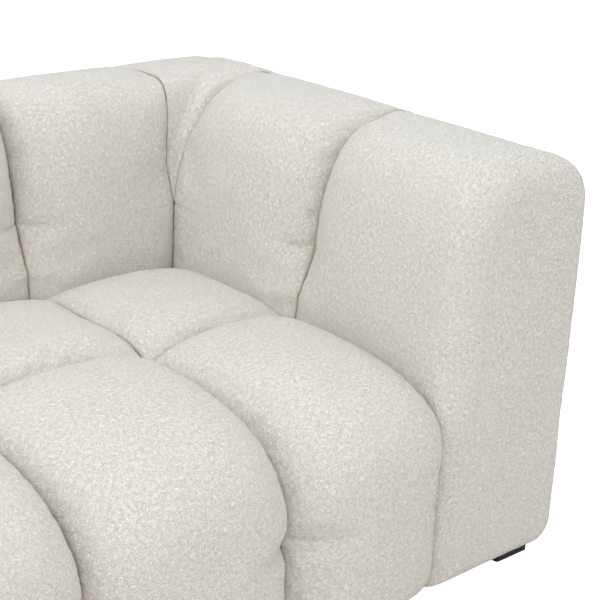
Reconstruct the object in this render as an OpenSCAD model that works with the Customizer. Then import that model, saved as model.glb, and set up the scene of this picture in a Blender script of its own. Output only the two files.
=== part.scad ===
// Tuxedo sofa with stuffed channels: arms and back of one height, two rows of stuffed blocks on the
// seat, and inside them the foam, springs, boards and timber frame that carry the covers.
// +X is to the right as seen from the front, +Y to the back and +Z up. Left is -X, right is +X.
// The origin is on the floor, under the middle of the whole sofa.

/* [Overall] */
// Width of the inner seat columns, and of the back channels above them
column_w = 367; // [347:1:387]
// Width of the seat columns beside the arms, and of the back channels above them
end_column_w = 310; // [290:1:330]
// Width of an arm, from its inner face to its outside cover
arm_w = 303; // [293:1:323]
// Height of the crowns of the arms and back
crown_h = 740; // [720:1:760]
// Rise of the corner blocks above their seams
corner_rise = 18; // [10:1:22]
// Depth from the arm fronts to the outside of the back
body_d = 985; // [950:1:1030]
// Thickness of the back, from its inner face to its outside cover
back_t = 256; // [246:1:280]
// Height of the seat crowns
seat_h = 428; // [418:1:440]
// Depth of the front row of seat blocks, from the arm fronts back
front_row_d = 394; // [370:1:420]
// Distance that the seat blocks swell in front of the arms
seat_proud = 20; // [10:1:25]
// Height of the covers' lowest edge above the floor
skirt_z = 20; // [16:1:21]

/* [Stuffed blocks] */
// Thickness of the seat pads under their crowns
seat_pad_t = 108; // [100:1:116]
// Thickness of the pads on the inner faces of the arms and back
pad_t = 80; // [74:1:86]
// Thickness of the pads over the tops of the arms and back
top_pad_t = 98; // [92:1:106]
// Thickness of the pads on the arm fronts
arm_front_pad_t = 34; // [30:1:36]
// Thickness of the seat pads on the front face, from their crowns
seat_front_pad_t = 105; // [100:1:112]
// Distance of the tufts on the arms and back below the crowns
tuft_drop = 233; // [220:1:245]
// Distance of the front face's tufts below the seat crowns
front_tuft_drop = 224; // [212:1:236]
// Height above those tufts over which the pads grow thicker, past the top of the foam
shoulder_h = 76; // [70:1:80]
// Depth of a channel's seam at its tuft
tuft_in = 56; // [45:1:62]
// Depth of a channel's seam where it goes into the seat
crease_in = 5; // [3:1:10]
// Depth of a channel's seam where the channels swell out again below their tuft
fold_in = 16; // [10:1:24]
// Distance of that place below the tuft
fold_h = 82; // [70:1:90]
// Depth of a channel's seam where it comes over the top
top_seam_in = 30; // [20:1:36]
// Depth of the seams beside a corner block there
corner_seam_in = 6; // [4:1:10]
// Depth of the seams between the front seat blocks
seat_seam_in = 50; // [40:1:56]
// Depth of the seams between the rear seat blocks
rear_seam_in = 34; // [28:1:42]
// Depth below the seat crowns of the rear row's seams beside the arms
rear_side_in = 45; // [38:1:52]
// Depth of the seam between the two seat rows, and of the seat's ends
seat_end_in = 42; // [34:1:48]
// How much further a seat tuft pulls the seams down
seat_tuft_in = 14; // [8:1:18]
// Depth of the front face's seams, behind the arm fronts
front_seam_in = 60; // [50:1:64]
// Depth of the front face's tufts, behind the arm fronts
front_tuft_in = 78; // [70:1:80]
// Reach of an arm's crest from its inner face
arm_reach = 150; // [140:1:160]
// Reach of the back's crest from its inner face
back_reach = 110; // [100:1:120]
// Fall of the tops from their crests to their outer edges
top_fall = 68; // [62:1:72]
// Radius of an arm front's inner edge
inner_edge_r = 62; // [50:1:70]
// Radius of the arm front's top edge
top_edge_r = 60; // [50:1:66]
// Radius of the arm front's outer edge
outer_edge_r = 36; // [32:1:42]
// Radius of the arm front's bottom edge
hem_edge_r = 30; // [24:1:36]
// Clearance around a sewn block
gap = 0.3; // [0.2:0.1:0.5]

/* [Covers] */
// Thickness of the outside covers with their wadding
cover_t = 4; // [3:0.5:5]
// Thickness of the hardboard behind the outside covers
board_t = 5; // [4:0.5:6]
// Radius of the outside covers' bottom edges and rear corners
hem_r = 40; // [38:1:42]
// Thickness of the dust cover
dust_t = 1; // [0.5:0.5:1.5]

/* [Frame] */
// Thickness of the solid rails
rail_t = 22; // [20:1:24]
// Height of the low rails and stretchers
low_rail_h = 80; // [70:1:90]
// Thickness of the plywood posts and top boards
ply_t = 18; // [16:1:20]
// Height of the rails under the top boards of the back
top_rail_h = 45; // [38:1:50]
// Thickness of the plywood skins on the arms' inner sides
skin_t = 5; // [4:0.5:6]
// Thickness of the foam behind the pads of the arms and back
side_foam_t = 19; // [16:1:20]
// Length of the blocks that the feet are bolted to
foot_block_l = 80; // [76:1:84]
// Height of the blocks that the feet are bolted to
foot_block_h = 40; // [36:1:42]

/* [Springs and webbing] */
// Thickness of the spring wire
wire_t = 4; // [3.5:0.1:4.2]
// Width of a spring over its loops
loop_w = 50; // [44:1:56]
// Bars in one spring
bars = 24; // [20:2:28]
// Height of a spring clip
clip_h = 8; // [7:0.5:9]
// Length of a spring clip along the rail
clip_l = 14; // [12:1:16]
// Thickness of the felt over the springs
felt_t = 5; // [4:0.5:5.5]
// Thickness of the foam under the seat pads
seat_foam_t = 55; // [50:1:60]
// Width of the back webbing
webbing_w = 80; // [60:1:90]
// Thickness of the back webbing
webbing_t = 2; // [1.5:0.5:2.5]

/* [Feet] */
// Height of a foot
foot_h = 23; // [22:0.5:26]
// Side of a foot
foot_side = 80; // [74:1:84]
// Radius of a foot's upright corners
foot_r = 6; // [6:0.5:10]
// Distance from the outside covers to a corner foot
foot_inset = 35; // [34:0.5:38]
// Diameter of a foot bolt
bolt_d = 8; // [6:1:10]
// Length of a foot bolt below its head
bolt_l = 56; // [52:1:60]
// Diameter of a foot bolt's head
bolt_head_d = 16; // [14:1:18]
// Height of a foot bolt's head
bolt_head_h = 6; // [5:0.5:7]

/* [Ties] */
// Diameter of a tuft tie
tie_d = 3; // [2:0.5:4]
// Diameter of a tie's washer
washer_d = 26; // [20:1:30]
// Thickness of a tie's washer
washer_t = 2; // [1.5:0.5:2]

/* [Hidden] */

columns = 5;
seat_half = (columns - 2)*column_w/2 + end_column_w;
half_w = seat_half + arm_w;
total_d = body_d + seat_proud;
front_y = seat_proud - total_d/2;
rear_y = total_d/2;
row_y = front_y + front_row_d;
back_y = rear_y - back_t;
seat_rear_d = body_d - back_t;

// Heights of the layers
top_z = crown_h - top_pad_t;
board_z = top_z - gap - ply_t;
tuft_z = crown_h - tuft_drop;
shoulder_z = tuft_z + shoulder_h;
front_tuft_z = seat_h - front_tuft_drop;
deck_z = seat_h - seat_pad_t;
foam_z = deck_z - gap - seat_foam_t;
felt_z = foam_z - gap - felt_t;
spring_rail_z = felt_z - gap - wire_t;
frame_z = foot_h;
low_rail_z = frame_z + low_rail_h;

// Distances inwards from the inner face of an arm or the back
foam_in = pad_t + gap;
web_in = foam_in + side_foam_t + gap;
post_in = web_in + webbing_t;
skin_in = web_in + skin_t;
panel_t = cover_t + board_t;

// Shape of the blocks: how the seams and crowns are rounded, as exponents and shares
across = 8;
seam_share = 2;
crown_share = 3.4;
seat_end_share = 2.2;
seat_edge_share = 3;
swell_l = 124;
swell_out_share = 0.8;
back_seam_share = 1.7;
lip_t = 12;

cream = [0.86, 0.84, 0.8];
timber = [0.78, 0.62, 0.42];
plywood = [0.83, 0.7, 0.5];
hardboard = [0.48, 0.34, 0.22];
foam_colour = [0.93, 0.89, 0.72];
felt_colour = [0.52, 0.52, 0.54];
steel = [0.62, 0.63, 0.65];
black = [0.05, 0.05, 0.05];
round_n = 48;

// Swell of a block w wide, 0 at its seams and 1 on its crown, at the share u of its width
function swell(u, w) = pow(1 - pow(abs(2*u - 1), w/swell_l), swell_out_share);
// Shares of a block's width at which its surface has points, closer together at the seams
function width_share(i) = (1 - cos(180*i/across))/2;
// Points from p to q in n steps, without p
function straight(p, q, n) = [for (i = [1:n]) p + (q - p)*i/n];
// A quarter round from p to q without p: it leaves p up or down, and comes level to q
function up_round(p, q, e, n) = [for (i = [1:n]) let (t = 90*i/n)
  [p[0] + (q[0] - p[0])*(1 - pow(cos(t), 2/e)), p[1] + (q[1] - p[1])*pow(sin(t), 2/e)]];
// The same, but it leaves p level and comes up or down to q
function level_round(p, q, e, n) = [for (i = [1:n]) let (t = 90*i/n)
  [p[0] + (q[0] - p[0])*pow(sin(t), 2/e), p[1] + (q[1] - p[1])*(1 - pow(cos(t), 2/e))]];

// One row of a block: points across its width from seam a over the crown to seam b, then its flat back
function row(a, crown, b, back, w) = concat(
  [for (i = [0:across]) let (u = width_share(i), s = u < 0.5 ? a : b)
    [u*w, s[0] + swell(u, w)*(crown[0] - s[0]), s[1] + swell(u, w)*(crown[1] - s[1])]],
  [[w, back[0], back[1]], [0, back[0], back[1]]]);

// Triangles around a stack of rings of m points, with n rings after the first. The quads that close
// each ring are cut across the other diagonal, because their backs end in line with their seams.
function side_faces(m, n) = [for (r = [0:n - 1], i = [0:m - 1])
  let (p = r*m + i, q = r*m + (i + 1)%m) each i == m - 1
    ? [[p, q, p + m], [q, q + m, p + m]]
    : [[p, q, q + m], [p, q + m, p + m]]];
// Triangles that close the first ring, as a fan from its last point, and those that close the last one
function first_faces(m) = [for (i = [0:m - 3]) [m - 1, i + 1, i]];
function last_faces(m, n) = [for (i = [0:m - 3]) [n*m + m - 1, n*m + i, n*m + i + 1]];
function turned(faces) = [for (f = faces) [f[0], f[2], f[1]]];

// A stuffed block between seam profiles a and b, w apart, with a crown profile and a flat back.
// Profiles are lists of [distance inwards, height] with one entry for each row, from the front or
// the bottom to the back, or the other way where forwards is true.
module stuffed_block(a, crown, b, back, w, forwards = false) {
  last = len(crown) - 1;
  m = across + 3;
  faces = concat(side_faces(m, last), first_faces(m), last_faces(m, last));
  polyhedron(points = [for (k = [0:last]) each row(a[k], crown[k], b[k], back[k], w)],
             faces = forwards ? faces : turned(faces));
}

// Profiles over an arm or the back, t thick, from the seat up the inner face, over the top and
// down to the seam of the outside cover. The seams come over the top in a bow of their own, and
// rise to its outer edge, where they fade.
seam_top_share = 0.68;
seam_edge_share = 0.79;
edge_in = 16;
edge_seam_in = 4;
function over_crown(t, reach) = concat([[0, deck_z]], straight([0, deck_z], [0, tuft_z], 2),
  up_round([0, tuft_z], [reach, crown_h], crown_share, 6),
  level_round([reach, crown_h], [t, crown_h - top_fall], 2, 4),
  straight([t, crown_h - top_fall], [t, top_z], 1));
function seam_end(t, from) = let (edge = [t*seam_edge_share, crown_h - edge_in],
    low = [t, crown_h - top_fall - edge_seam_in])
  concat(straight(from, edge, 1), level_round(edge, low, 2, 4), straight(low, [t, top_z], 1));
function over_seam(t, bottom_in, in, top_in, share) = let (top = [t*seam_top_share, crown_h - top_in])
  concat([[bottom_in, deck_z], [fold_in*in/tuft_in, tuft_z - fold_h], [in, tuft_z]],
    up_round([in, tuft_z], top, share, 5), seam_end(t, top));
function over_back(t) = concat([[pad_t, deck_z]], straight([pad_t, deck_z], [pad_t, shoulder_z], 3),
  [[web_in - gap, shoulder_z]], straight([web_in - gap, shoulder_z], [web_in - gap, top_z], 1),
  straight([web_in - gap, top_z], [t - lip_t, top_z], 8));
function arm_crown(t) = over_crown(t, arm_reach);
function back_crown(t) = over_crown(t, back_reach);
function arm_seam(t) = over_seam(t, crease_in, tuft_in, top_seam_in, seam_share);
function back_seam(t) = over_seam(t, crease_in, tuft_in, top_seam_in, back_seam_share);
function arm_corner_seam(t) = over_seam(t, 0, 0, corner_seam_in, seam_share);
// Beside a corner block the back's channel stands up nearly straight, behind the beak
beak_in = 26;
beak_h = 68;
beak_edge_share = 5;
function back_corner_seam(t) = let (low = [beak_in, tuft_z + beak_h], top = [back_reach, crown_h - corner_seam_in])
  concat([[0, deck_z]], straight([0, deck_z], [0, tuft_z], 2), straight([0, tuft_z], low, 1),
    up_round(low, top, beak_edge_share, 4), seam_end(t, top));

// Profiles of the seat blocks, as distances back from the arm fronts. The front row goes from the
// seam between the rows forwards, over the edge and down the front face.
seat_rise = 95;
bulge_z = 200;
face_r = 52;
tuck_in = 32;
function seat_front_crown() = concat([[front_row_d, seat_h - seat_end_in]],
  up_round([front_row_d, seat_h - seat_end_in], [front_row_d - seat_rise, seat_h], seat_end_share, 3),
  level_round([front_row_d - seat_rise, seat_h], [-seat_proud, bulge_z], seat_edge_share, 6),
  straight([-seat_proud, bulge_z], [-seat_proud, skirt_z + face_r], 2),
  up_round([-seat_proud, skirt_z + face_r], [tuck_in, skirt_z], 2, 3));
function seat_front_seam() = let (z = seat_h - seat_seam_in, y = front_row_d - seat_rise/2) concat(
  [[front_row_d, z - seat_tuft_in]], up_round([front_row_d, z - seat_tuft_in], [y, z], 2, 3),
  level_round([y, z], [front_seam_in, front_tuft_z + seat_rise/3], 2, 6),
  straight([front_seam_in, front_tuft_z + seat_rise/3], [front_tuft_in, front_tuft_z], 1),
  straight([front_tuft_in, front_tuft_z], [front_seam_in - seat_tuft_in, skirt_z + face_r], 1),
  up_round([front_seam_in - seat_tuft_in, skirt_z + face_r], [front_seam_in, skirt_z], 2, 3));
function seat_front_side() = let (z = seat_h - seat_seam_in, y = front_row_d - seat_rise) concat(
  [[front_row_d, z]], straight([front_row_d, z], [y, z], 3),
  level_round([y, z], [side_in, z - seat_rise], seat_edge_share, 6),
  straight([side_in, z - seat_rise], [side_in, skirt_z + face_r], 2),
  up_round([side_in, skirt_z + face_r], [tuck_in, skirt_z], 2, 3));
side_in = 24;
front_in = seat_front_pad_t - seat_proud;
slope_l = 65;
slope_z = spring_rail_z + clip_h + gap;
function seat_front_back() = let (p = [front_row_d, deck_z], q = [front_in + slope_l, deck_z],
  r = [front_in, slope_z], s = [front_in, skirt_z])
  concat([p], straight(p, q, 7), straight(q, r, 2), straight(r, s, 5));

// The rear row goes from the seam between the rows back to the back's inner face
rear_rise = 160;
rear_end_in = 74;
tuft_reach = 100;
function seat_rear_crown() = let (z = seat_h - seat_end_in, l = seat_rear_d) concat([[front_row_d, z]],
  up_round([front_row_d, z], [front_row_d + seat_rise, seat_h], seat_end_share, 3),
  straight([front_row_d + seat_rise, seat_h], [l - rear_rise, seat_h], 1),
  level_round([l - rear_rise, seat_h], [l - gap, seat_h - rear_end_in], 2, 4));
function seat_rear_seam(in, tuft) = let (z = seat_h - in, low = seat_h - seat_seam_in - tuft,
    l = seat_rear_d) concat(
  [[front_row_d, low]], up_round([front_row_d, low], [front_row_d + tuft_reach, z], 2, 3),
  straight([front_row_d + tuft_reach, z], [l - rear_rise/2, z], 1),
  level_round([l - rear_rise/2, z], [l - gap, seat_h - rear_end_in], 2, 4));
function seat_rear_back() = let (p = [front_row_d, deck_z], q = [seat_rear_d - gap, deck_z])
  concat([p], straight(p, q, 8));

// Place of the seam after column i, and the width of the blocks in it, counted from the left
function seam_x(i) = i == 0 ? -seat_half : i == columns ? seat_half : (i - columns/2)*column_w;
function block_w(i) = seam_x(i) - seam_x(i - 1) - gap;
module at_column(i) { translate([seam_x(i - 1) + gap/2, 0, 0]) children(); }
module both_sides() { children(); mirror([1, 0, 0]) children(); }
module slab(low, high) { translate(low) cube(high - low); }

module seat_front(i) {
  at_column(i) translate([0, front_y, 0]) color(cream) stuffed_block(
    i == 1 ? seat_front_side() : seat_front_seam(), seat_front_crown(),
    i == columns ? seat_front_side() : seat_front_seam(), seat_front_back(), block_w(i), true);
}

module seat_rear(i) {
  at_column(i) translate([0, front_y + gap, 0]) color(cream) stuffed_block(
    i == 1 ? seat_rear_seam(rear_side_in, 0) : seat_rear_seam(rear_seam_in, seat_tuft_in), seat_rear_crown(),
    i == columns ? seat_rear_seam(rear_side_in, 0) : seat_rear_seam(rear_seam_in, seat_tuft_in),
    seat_rear_back(), block_w(i));
}

module back_channel(i) {
  at_column(i) translate([0, back_y, 0]) color(cream) stuffed_block(
    i == 1 ? back_corner_seam(back_t) : back_seam(back_t), back_crown(back_t),
    i == columns ? back_corner_seam(back_t) : back_seam(back_t), over_back(back_t), block_w(i));
}

// The rear channel of the right arm, from the seam between the seat rows to the back
module arm_rear() {
  translate([seat_half, row_y + gap/2, 0]) color(cream) mirror([1, -1, 0])
    stuffed_block(arm_seam(arm_w), arm_crown(arm_w), arm_corner_seam(arm_w), over_back(arm_w),
                  back_y - row_y - gap);
}
module arm_rear_right() { arm_rear(); }
module arm_rear_left() { mirror([1, 0, 0]) arm_rear(); }

// The corner block over the meeting of back and right arm: a dome with a beak that runs down
// between their channels to the tuft. Its rows go from the beak's tip out to the outside covers,
// each from the back's seam, round the outer corner, to the arm's seam.
tip_rows = 2;
beak_share = 0.3;
corner_bend_shares = [0, 0.3, 0.62, 1];
// Rise of each row between its ends, and its drop at the outer corner, as shares
rise_shares = [0, 0, 0, 0.2, 0.45, 0.7, 0.9, 1, 0.6, 0.3, 0.1, 0, 0, 0];
drop_shares = [0, 0, 0, 0, 0, 0, 0.3, 1, 0.75, 0.6, 0.3, 0, 0, 0];
corner_drop = 16;
function corner_row(k) = let (a = back_corner_seam(back_t - gap)[k], b = arm_corner_seam(arm_w - gap)[k],
    up = min(1, (k - tip_rows)/6), q = beak_share + (1 - beak_share)*up, r = hem_r*up)
  [for (i = [0:across]) let (u = i/across, s = 90*max(0, min(1, (i - 3)/2)),
      leg = [b[0] - r, a[0] - r], x = i <= 3 ? leg[0]*corner_bend_shares[i] : leg[0] + r*sin(s),
      y = i >= 5 ? leg[1]*corner_bend_shares[across - i] : leg[1] + r*cos(s))
    [b[0]*u*(1 - q) + q*x, a[0]*(1 - u)*(1 - q) + q*y, a[1]*(1 - u) + b[1]*u
      + sin(180*u)*corner_rise*rise_shares[k] - pow(1 - abs(2*u - 1), 2)*corner_drop*drop_shares[k]]];
module corner() {
  n = len(rise_shares) - 1 - tip_rows;
  m = across + 1;
  points = concat([[0, 0, tuft_z], [pad_t, pad_t, top_z]], [for (k = [1:n]) each corner_row(k + tip_rows)]);
  faces = concat(
    [for (i = [0:across - 1]) [0, 3 + i, 2 + i]],
    [for (k = [0:n - 2], i = [0:across - 1]) let (p = 2 + k*m + i) [p, p + 1, p + m + 1]],
    [for (k = [0:n - 2], i = [0:across - 1]) let (p = 2 + k*m + i) [p, p + m + 1, p + m]],
    [[1, 0, 2], [1, 2 + across, 0]],
    [for (k = [0:n - 2]) let (p = 2 + k*m) [1, p, p + m]],
    [for (k = [0:n - 2]) let (p = 2 + k*m + across) [1, p + m, p]],
    [for (i = [0:across - 1]) let (p = 2 + (n - 1)*m + i) [1, p, p + 1]]);
  translate([seat_half + gap, back_y + gap, 0]) color(cream) polyhedron(points = points, faces = turned(faces));
}
module corner_right() { corner(); }
module corner_left() { mirror([1, 0, 0]) corner(); }

// The front block of the right arm: one cover over the inner face, the top and the front.
// Its rings go from the seam at the rear channel forwards, round the front edges, to the front face.
front_crown = 5;
face_crown = 1;
face_share = 0.55;
function ring_tail() = concat([[arm_w, skirt_z + hem_r]],
  up_round([arm_w, skirt_z + hem_r], [arm_w - hem_r, skirt_z], 2, 3));
function arm_ring(swelling) = let (a = arm_seam(arm_w), c = arm_crown(arm_w)) concat(
  [[0, skirt_z]], [for (k = [0:len(c) - 1]) a[k] + swelling*(c[k] - a[k])], ring_tail());
function edge_r(k) = k == 0 || k > 15 ? hem_edge_r : k <= 4 ? inner_edge_r : k <= 10 ? inner_edge_r + (top_edge_r - inner_edge_r)*(k - 4)/6
  : k <= 14 ? top_edge_r + (outer_edge_r - top_edge_r)*(k - 10)/4 : outer_edge_r;
function squeezed(p, turn, shrink) = let (o = 1 - cos(turn), h = crown_h - skirt_z,
    x = p[0] + o*(inner_edge_r*(1 - p[0]/arm_w) - outer_edge_r*p[0]/arm_w),
    z = p[1] + o*(hem_edge_r*(crown_h - p[1])/h - top_edge_r*(p[1] - skirt_z)/h))
  [arm_w/2 + (x - arm_w/2)*shrink, (crown_h + skirt_z)/2 + (z - (crown_h + skirt_z)/2)*shrink];
function front_ring(turn, shrink, crown) = let (c = arm_ring(1))
  [for (k = [0:len(c) - 1]) let (p = squeezed(c[k], turn, shrink)) [p[0], crown + edge_r(k)*(1 - sin(turn)), p[1]]];
module arm_front() {
  m = len(arm_ring(1));
  back_rings = [for (i = [0:across/2]) each [for (p = arm_ring(swell(width_share(i), front_row_d)))
    [p[0], front_row_d*(1 - width_share(i)) - gap, p[1]]]];
  edge_rings = [for (turn = [0:22.5:90]) each front_ring(turn, 1, front_crown)];
  points = concat(back_rings, edge_rings, front_ring(90, face_share, face_crown), [[arm_w/2, 0, crown_h/2]]);
  n = across/2 + 6;
  faces = concat(side_faces(m, n), first_faces(m), [for (i = [0:m - 1]) [n*m + i, n*m + (i + 1)%m, (n + 1)*m]]);
  translate([seat_half, front_y, 0]) color(cream) difference() {
    polyhedron(points = points, faces = faces);
    slab([web_in - gap, arm_front_pad_t, -skirt_z], [arm_w + pad_t, front_row_d + pad_t, top_z]);
    slab([pad_t, arm_front_pad_t, -skirt_z], [arm_w, front_row_d + pad_t, shoulder_z]);
    slab([-pad_t, arm_front_pad_t, -skirt_z], [arm_w, front_row_d + pad_t, deck_z]);
  }
}
module arm_front_right() { arm_front(); }
module arm_front_left() { mirror([1, 0, 0]) arm_front(); }

// Outside covers: fabric over thin wadding, rounded under at the bottom and round the rear corners
return_l = 20;
hem_reach = foot_inset - gap;
module cover_profile() {
  translate([hem_r - cover_t, hem_r]) square([cover_t, top_z - gap - skirt_z - hem_r]);
  intersection() {
    translate([0, hem_r]) difference() {
      circle(r = hem_r, $fn = round_n);
      circle(r = hem_r - cover_t, $fn = round_n);
    }
    translate([hem_r - hem_reach, 0]) square([hem_reach, hem_r]);
  }
}
module outer_side() {
  start = front_y + arm_front_pad_t + gap;
  color(cream) translate([half_w - hem_r, rear_y - hem_r, skirt_z]) {
    rotate([90, 0, 0]) linear_extrude(rear_y - hem_r - start) cover_profile();
    rotate_extrude(angle = 90, $fn = round_n) cover_profile();
    rotate([90, 0, 90]) mirror([0, 0, 1]) linear_extrude(return_l) cover_profile();
  }
}
module outer_side_right() { outer_side(); }
module outer_side_left() { mirror([1, 0, 0]) outer_side(); }
module outer_back() {
  l = 2*(half_w - hem_r - return_l - gap);
  color(cream) translate([l/2, rear_y - hem_r, skirt_z]) rotate([90, 0, 90]) mirror([0, 0, 1])
    linear_extrude(l) cover_profile();
}
module dust_cover() {
  edge = hem_r + gap;
  hole = foot_side + 2*gap;
  color(black) difference() {
    union() {
      slab([edge - half_w, front_rail_y, frame_z - dust_t], [half_w - edge, rear_y - edge, frame_z]);
      both_sides() slab([seat_half + gap, front_y + arm_front_pad_t + gap, frame_z - dust_t],
        [half_w - edge, front_rail_y, frame_z]);
    }
    for (p = foot_places) translate([p[0] - hole/2, p[1] - hole/2, 0]) cube([hole, hole, foot_h + dust_t]);
  }
}

// Boards behind the covers, and the skins on the arms' inner sides
side_z = skirt_z + hem_r + cover_t;
module side_boards() {
  color(hardboard) both_sides() slab([half_w - panel_t, front_y + arm_front_pad_t + gap, side_z],
    [half_w - cover_t, rear_y - hem_r, top_z - gap]);
}
module back_board() {
  color(hardboard) slab([hem_r - half_w, rear_y - panel_t, side_z],
    [half_w - hem_r, rear_y - cover_t, top_z - gap]);
}
module arm_skins() {
  color(plywood) both_sides() difference() {
    slab([seat_half + web_in, front_y + arm_front_pad_t + gap, spring_rail_z],
      [seat_half + skin_in, back_y + web_in, board_z]);
    arm_tie_hole(web_in, skin_t);
  }
}
module arm_top_boards() {
  color(plywood) both_sides() slab([seat_half + web_in, front_y + arm_front_pad_t + gap, board_z],
    [half_w - panel_t, back_y + web_in, top_z - gap]);
}
corner_cut = 22;
module back_top_board() {
  color(plywood) slab([corner_cut - half_w, back_y + web_in, board_z],
    [half_w - corner_cut, rear_y - panel_t, top_z - gap]);
}

// Rails, posts and stretchers
rail_half = seat_half + skin_in;
front_rail_y = front_y + front_in + gap;
post_y = back_y + post_in;
post_cut = 45;
side_start_y = front_y + arm_front_pad_t + gap + ply_t;
rear_low_y = rear_y - hem_r - rail_t;
side_low_x = half_w - hem_r - rail_t;
rail_under_z = board_z - top_rail_h;
module front_rail() {
  color(timber) difference() {
    slab([-rail_half, front_rail_y, frame_z], [rail_half, front_rail_y + rail_t, spring_rail_z]);
    front_tie_holes();
    front_screws(fit);
  }
}
module rear_spring_rail() {
  color(timber) slab([-rail_half, post_y, frame_z], [rail_half, post_y + rail_t, spring_rail_z]);
}
// The front panels reach in under the seat, to back the pads beside it
module arm_front_posts() {
  outer = arm_w - panel_t;
  outline = [[gap, frame_z], [outer - post_cut, frame_z], [outer, frame_z + post_cut], [outer, board_z],
    [skin_in, board_z], [skin_in, spring_rail_z], [gap, spring_rail_z]];
  color(plywood) both_sides() translate([seat_half, side_start_y, 0])
    rotate([90, 0, 0]) linear_extrude(ply_t) polygon(outline);
}
module arm_inner_posts() {
  color(plywood) both_sides() for (y = [row_y + 2*ply_t, back_y + web_in - ply_t])
    slab([rail_half, y, low_rail_z], [half_w - panel_t, y + ply_t, board_z]);
}
module back_posts() {
  rear = back_t - panel_t;
  inner = post_in + rail_t;
  outline = [[inner, low_rail_z], [rear, low_rail_z], [rear, rail_under_z], [rear - rail_t, rail_under_z],
    [rear - rail_t, board_z], [inner, board_z], [inner, rail_under_z], [post_in, rail_under_z],
    [post_in, spring_rail_z], [inner, spring_rail_z]];
  color(plywood) for (i = [0:columns]) translate([seam_x(i) - ply_t/2, back_y, 0])
    rotate([90, 0, 90]) linear_extrude(ply_t) polygon(outline);
  color(timber) both_sides() slab([side_low_x, rear_low_y, low_rail_z],
    [side_low_x + rail_t, rear_low_y + rail_t, board_z]);
}
module back_front_rail() {
  color(timber) slab([-rail_half, post_y, rail_under_z], [rail_half, post_y + rail_t, board_z]);
}
module back_tack_rail() {
  color(timber) slab([-side_low_x, rear_y - panel_t - rail_t, rail_under_z],
    [side_low_x, rear_y - panel_t, board_z]);
}
module arm_low_rails() {
  color(timber) both_sides() {
    slab([rail_half, side_start_y, frame_z], [rail_half + rail_t, rear_low_y, low_rail_z]);
    difference() {
      slab([side_low_x, side_start_y, frame_z], [side_low_x + rail_t, rear_low_y, low_rail_z]);
      side_screws(fit);
    }
  }
}
module rear_low_rail() {
  color(timber) difference() {
    slab([-side_low_x - rail_t, rear_low_y, frame_z], [side_low_x + rail_t, rear_low_y + rail_t, low_rail_z]);
    rear_screws(fit);
  }
}
stretcher_x = seat_half/3;
module seat_stretchers() {
  color(timber) both_sides() slab([stretcher_x, front_rail_y + rail_t, frame_z],
    [stretcher_x + rail_t, post_y, low_rail_z]);
}

// Feet, and the blocks, bolts and screws that hold them. The corner feet stand in from the outside
// covers, and the middle ones stand behind the rails.
fit = 0.2;
foot_x = half_w - foot_inset - foot_side/2;
foot_front_y = front_y + foot_inset + foot_side/2;
foot_rear_y = rear_y - foot_inset - foot_side/2;
middle_front_y = front_rail_y + rail_t + foot_block_l/2;
foot_places = [[foot_x, foot_front_y], [-foot_x, foot_front_y], [foot_x, foot_rear_y],
  [-foot_x, foot_rear_y], [0, middle_front_y], [0, foot_rear_y]];
block_top_z = frame_z + foot_block_h;
head_clear = 1;
head_recess = bolt_head_h + 2*head_clear;
nut_wall = 1.5;
nut_d = bolt_d + 2*nut_wall;
nut_l = 12;
nut_flange_d = 22;
nut_flange_t = 1.5;
screw_z = frame_z + foot_block_h/2;
screw_d = 5;
screw_l = 50;
screw_head_d = 10;
screw_head_h = 3;
side_screw_shares = [0.6, 0.9];
rear_screw_xs = [foot_block_l/4, foot_x - foot_block_l/2, foot_x - foot_block_l/4];
// A wood screw along +Y, from its head's outer face
module screw(clear = 0) {
  rotate([-90, 0, 0]) {
    cylinder(d = screw_d + 2*clear, h = screw_l, $fn = round_n);
    cylinder(d = screw_head_d + 2*clear, h = screw_head_h + clear, $fn = round_n);
  }
}
module front_screws(clear = 0) {
  for (s = [-1, 1]) translate([s*foot_block_l/4, front_rail_y, screw_z]) screw(clear);
}
module rear_screws(clear = 0) {
  for (x = rear_screw_xs, s = [-1, 1]) translate([s*x, rear_low_y + rail_t, screw_z])
    rotate([0, 0, 180]) screw(clear);
}
module side_screws(clear = 0) {
  for (share = side_screw_shares)
    translate([side_low_x + rail_t, side_start_y + foot_block_l*share, screw_z]) rotate([0, 0, 90]) screw(clear);
}
module foot_block_at(low_x, high_x, low_y, high_y) {
  slab([low_x, low_y, frame_z], [high_x, high_y, block_top_z]);
}
module foot_blocks() {
  color(timber) difference() {
    union() {
      both_sides() {
        foot_block_at(rail_half + rail_t, side_low_x, side_start_y, side_start_y + foot_block_l);
        foot_block_at(rail_half + rail_t, side_low_x, rear_low_y - foot_block_l, rear_low_y);
      }
      foot_block_at(-foot_block_l/2, foot_block_l/2, front_rail_y + rail_t,
        front_rail_y + rail_t + foot_block_l);
      foot_block_at(-foot_block_l/2, foot_block_l/2, post_y + rail_t, rear_low_y);
    }
    for (p = foot_places) translate([p[0], p[1], 0]) {
      cylinder(d = bolt_d + 2*fit, h = block_top_z, $fn = round_n);
      translate([0, 0, block_top_z - nut_l]) cylinder(d = nut_d + 2*fit, h = nut_l, $fn = round_n);
    }
    front_screws(fit);
    rear_screws(fit);
    both_sides() side_screws(fit);
  }
}
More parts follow.
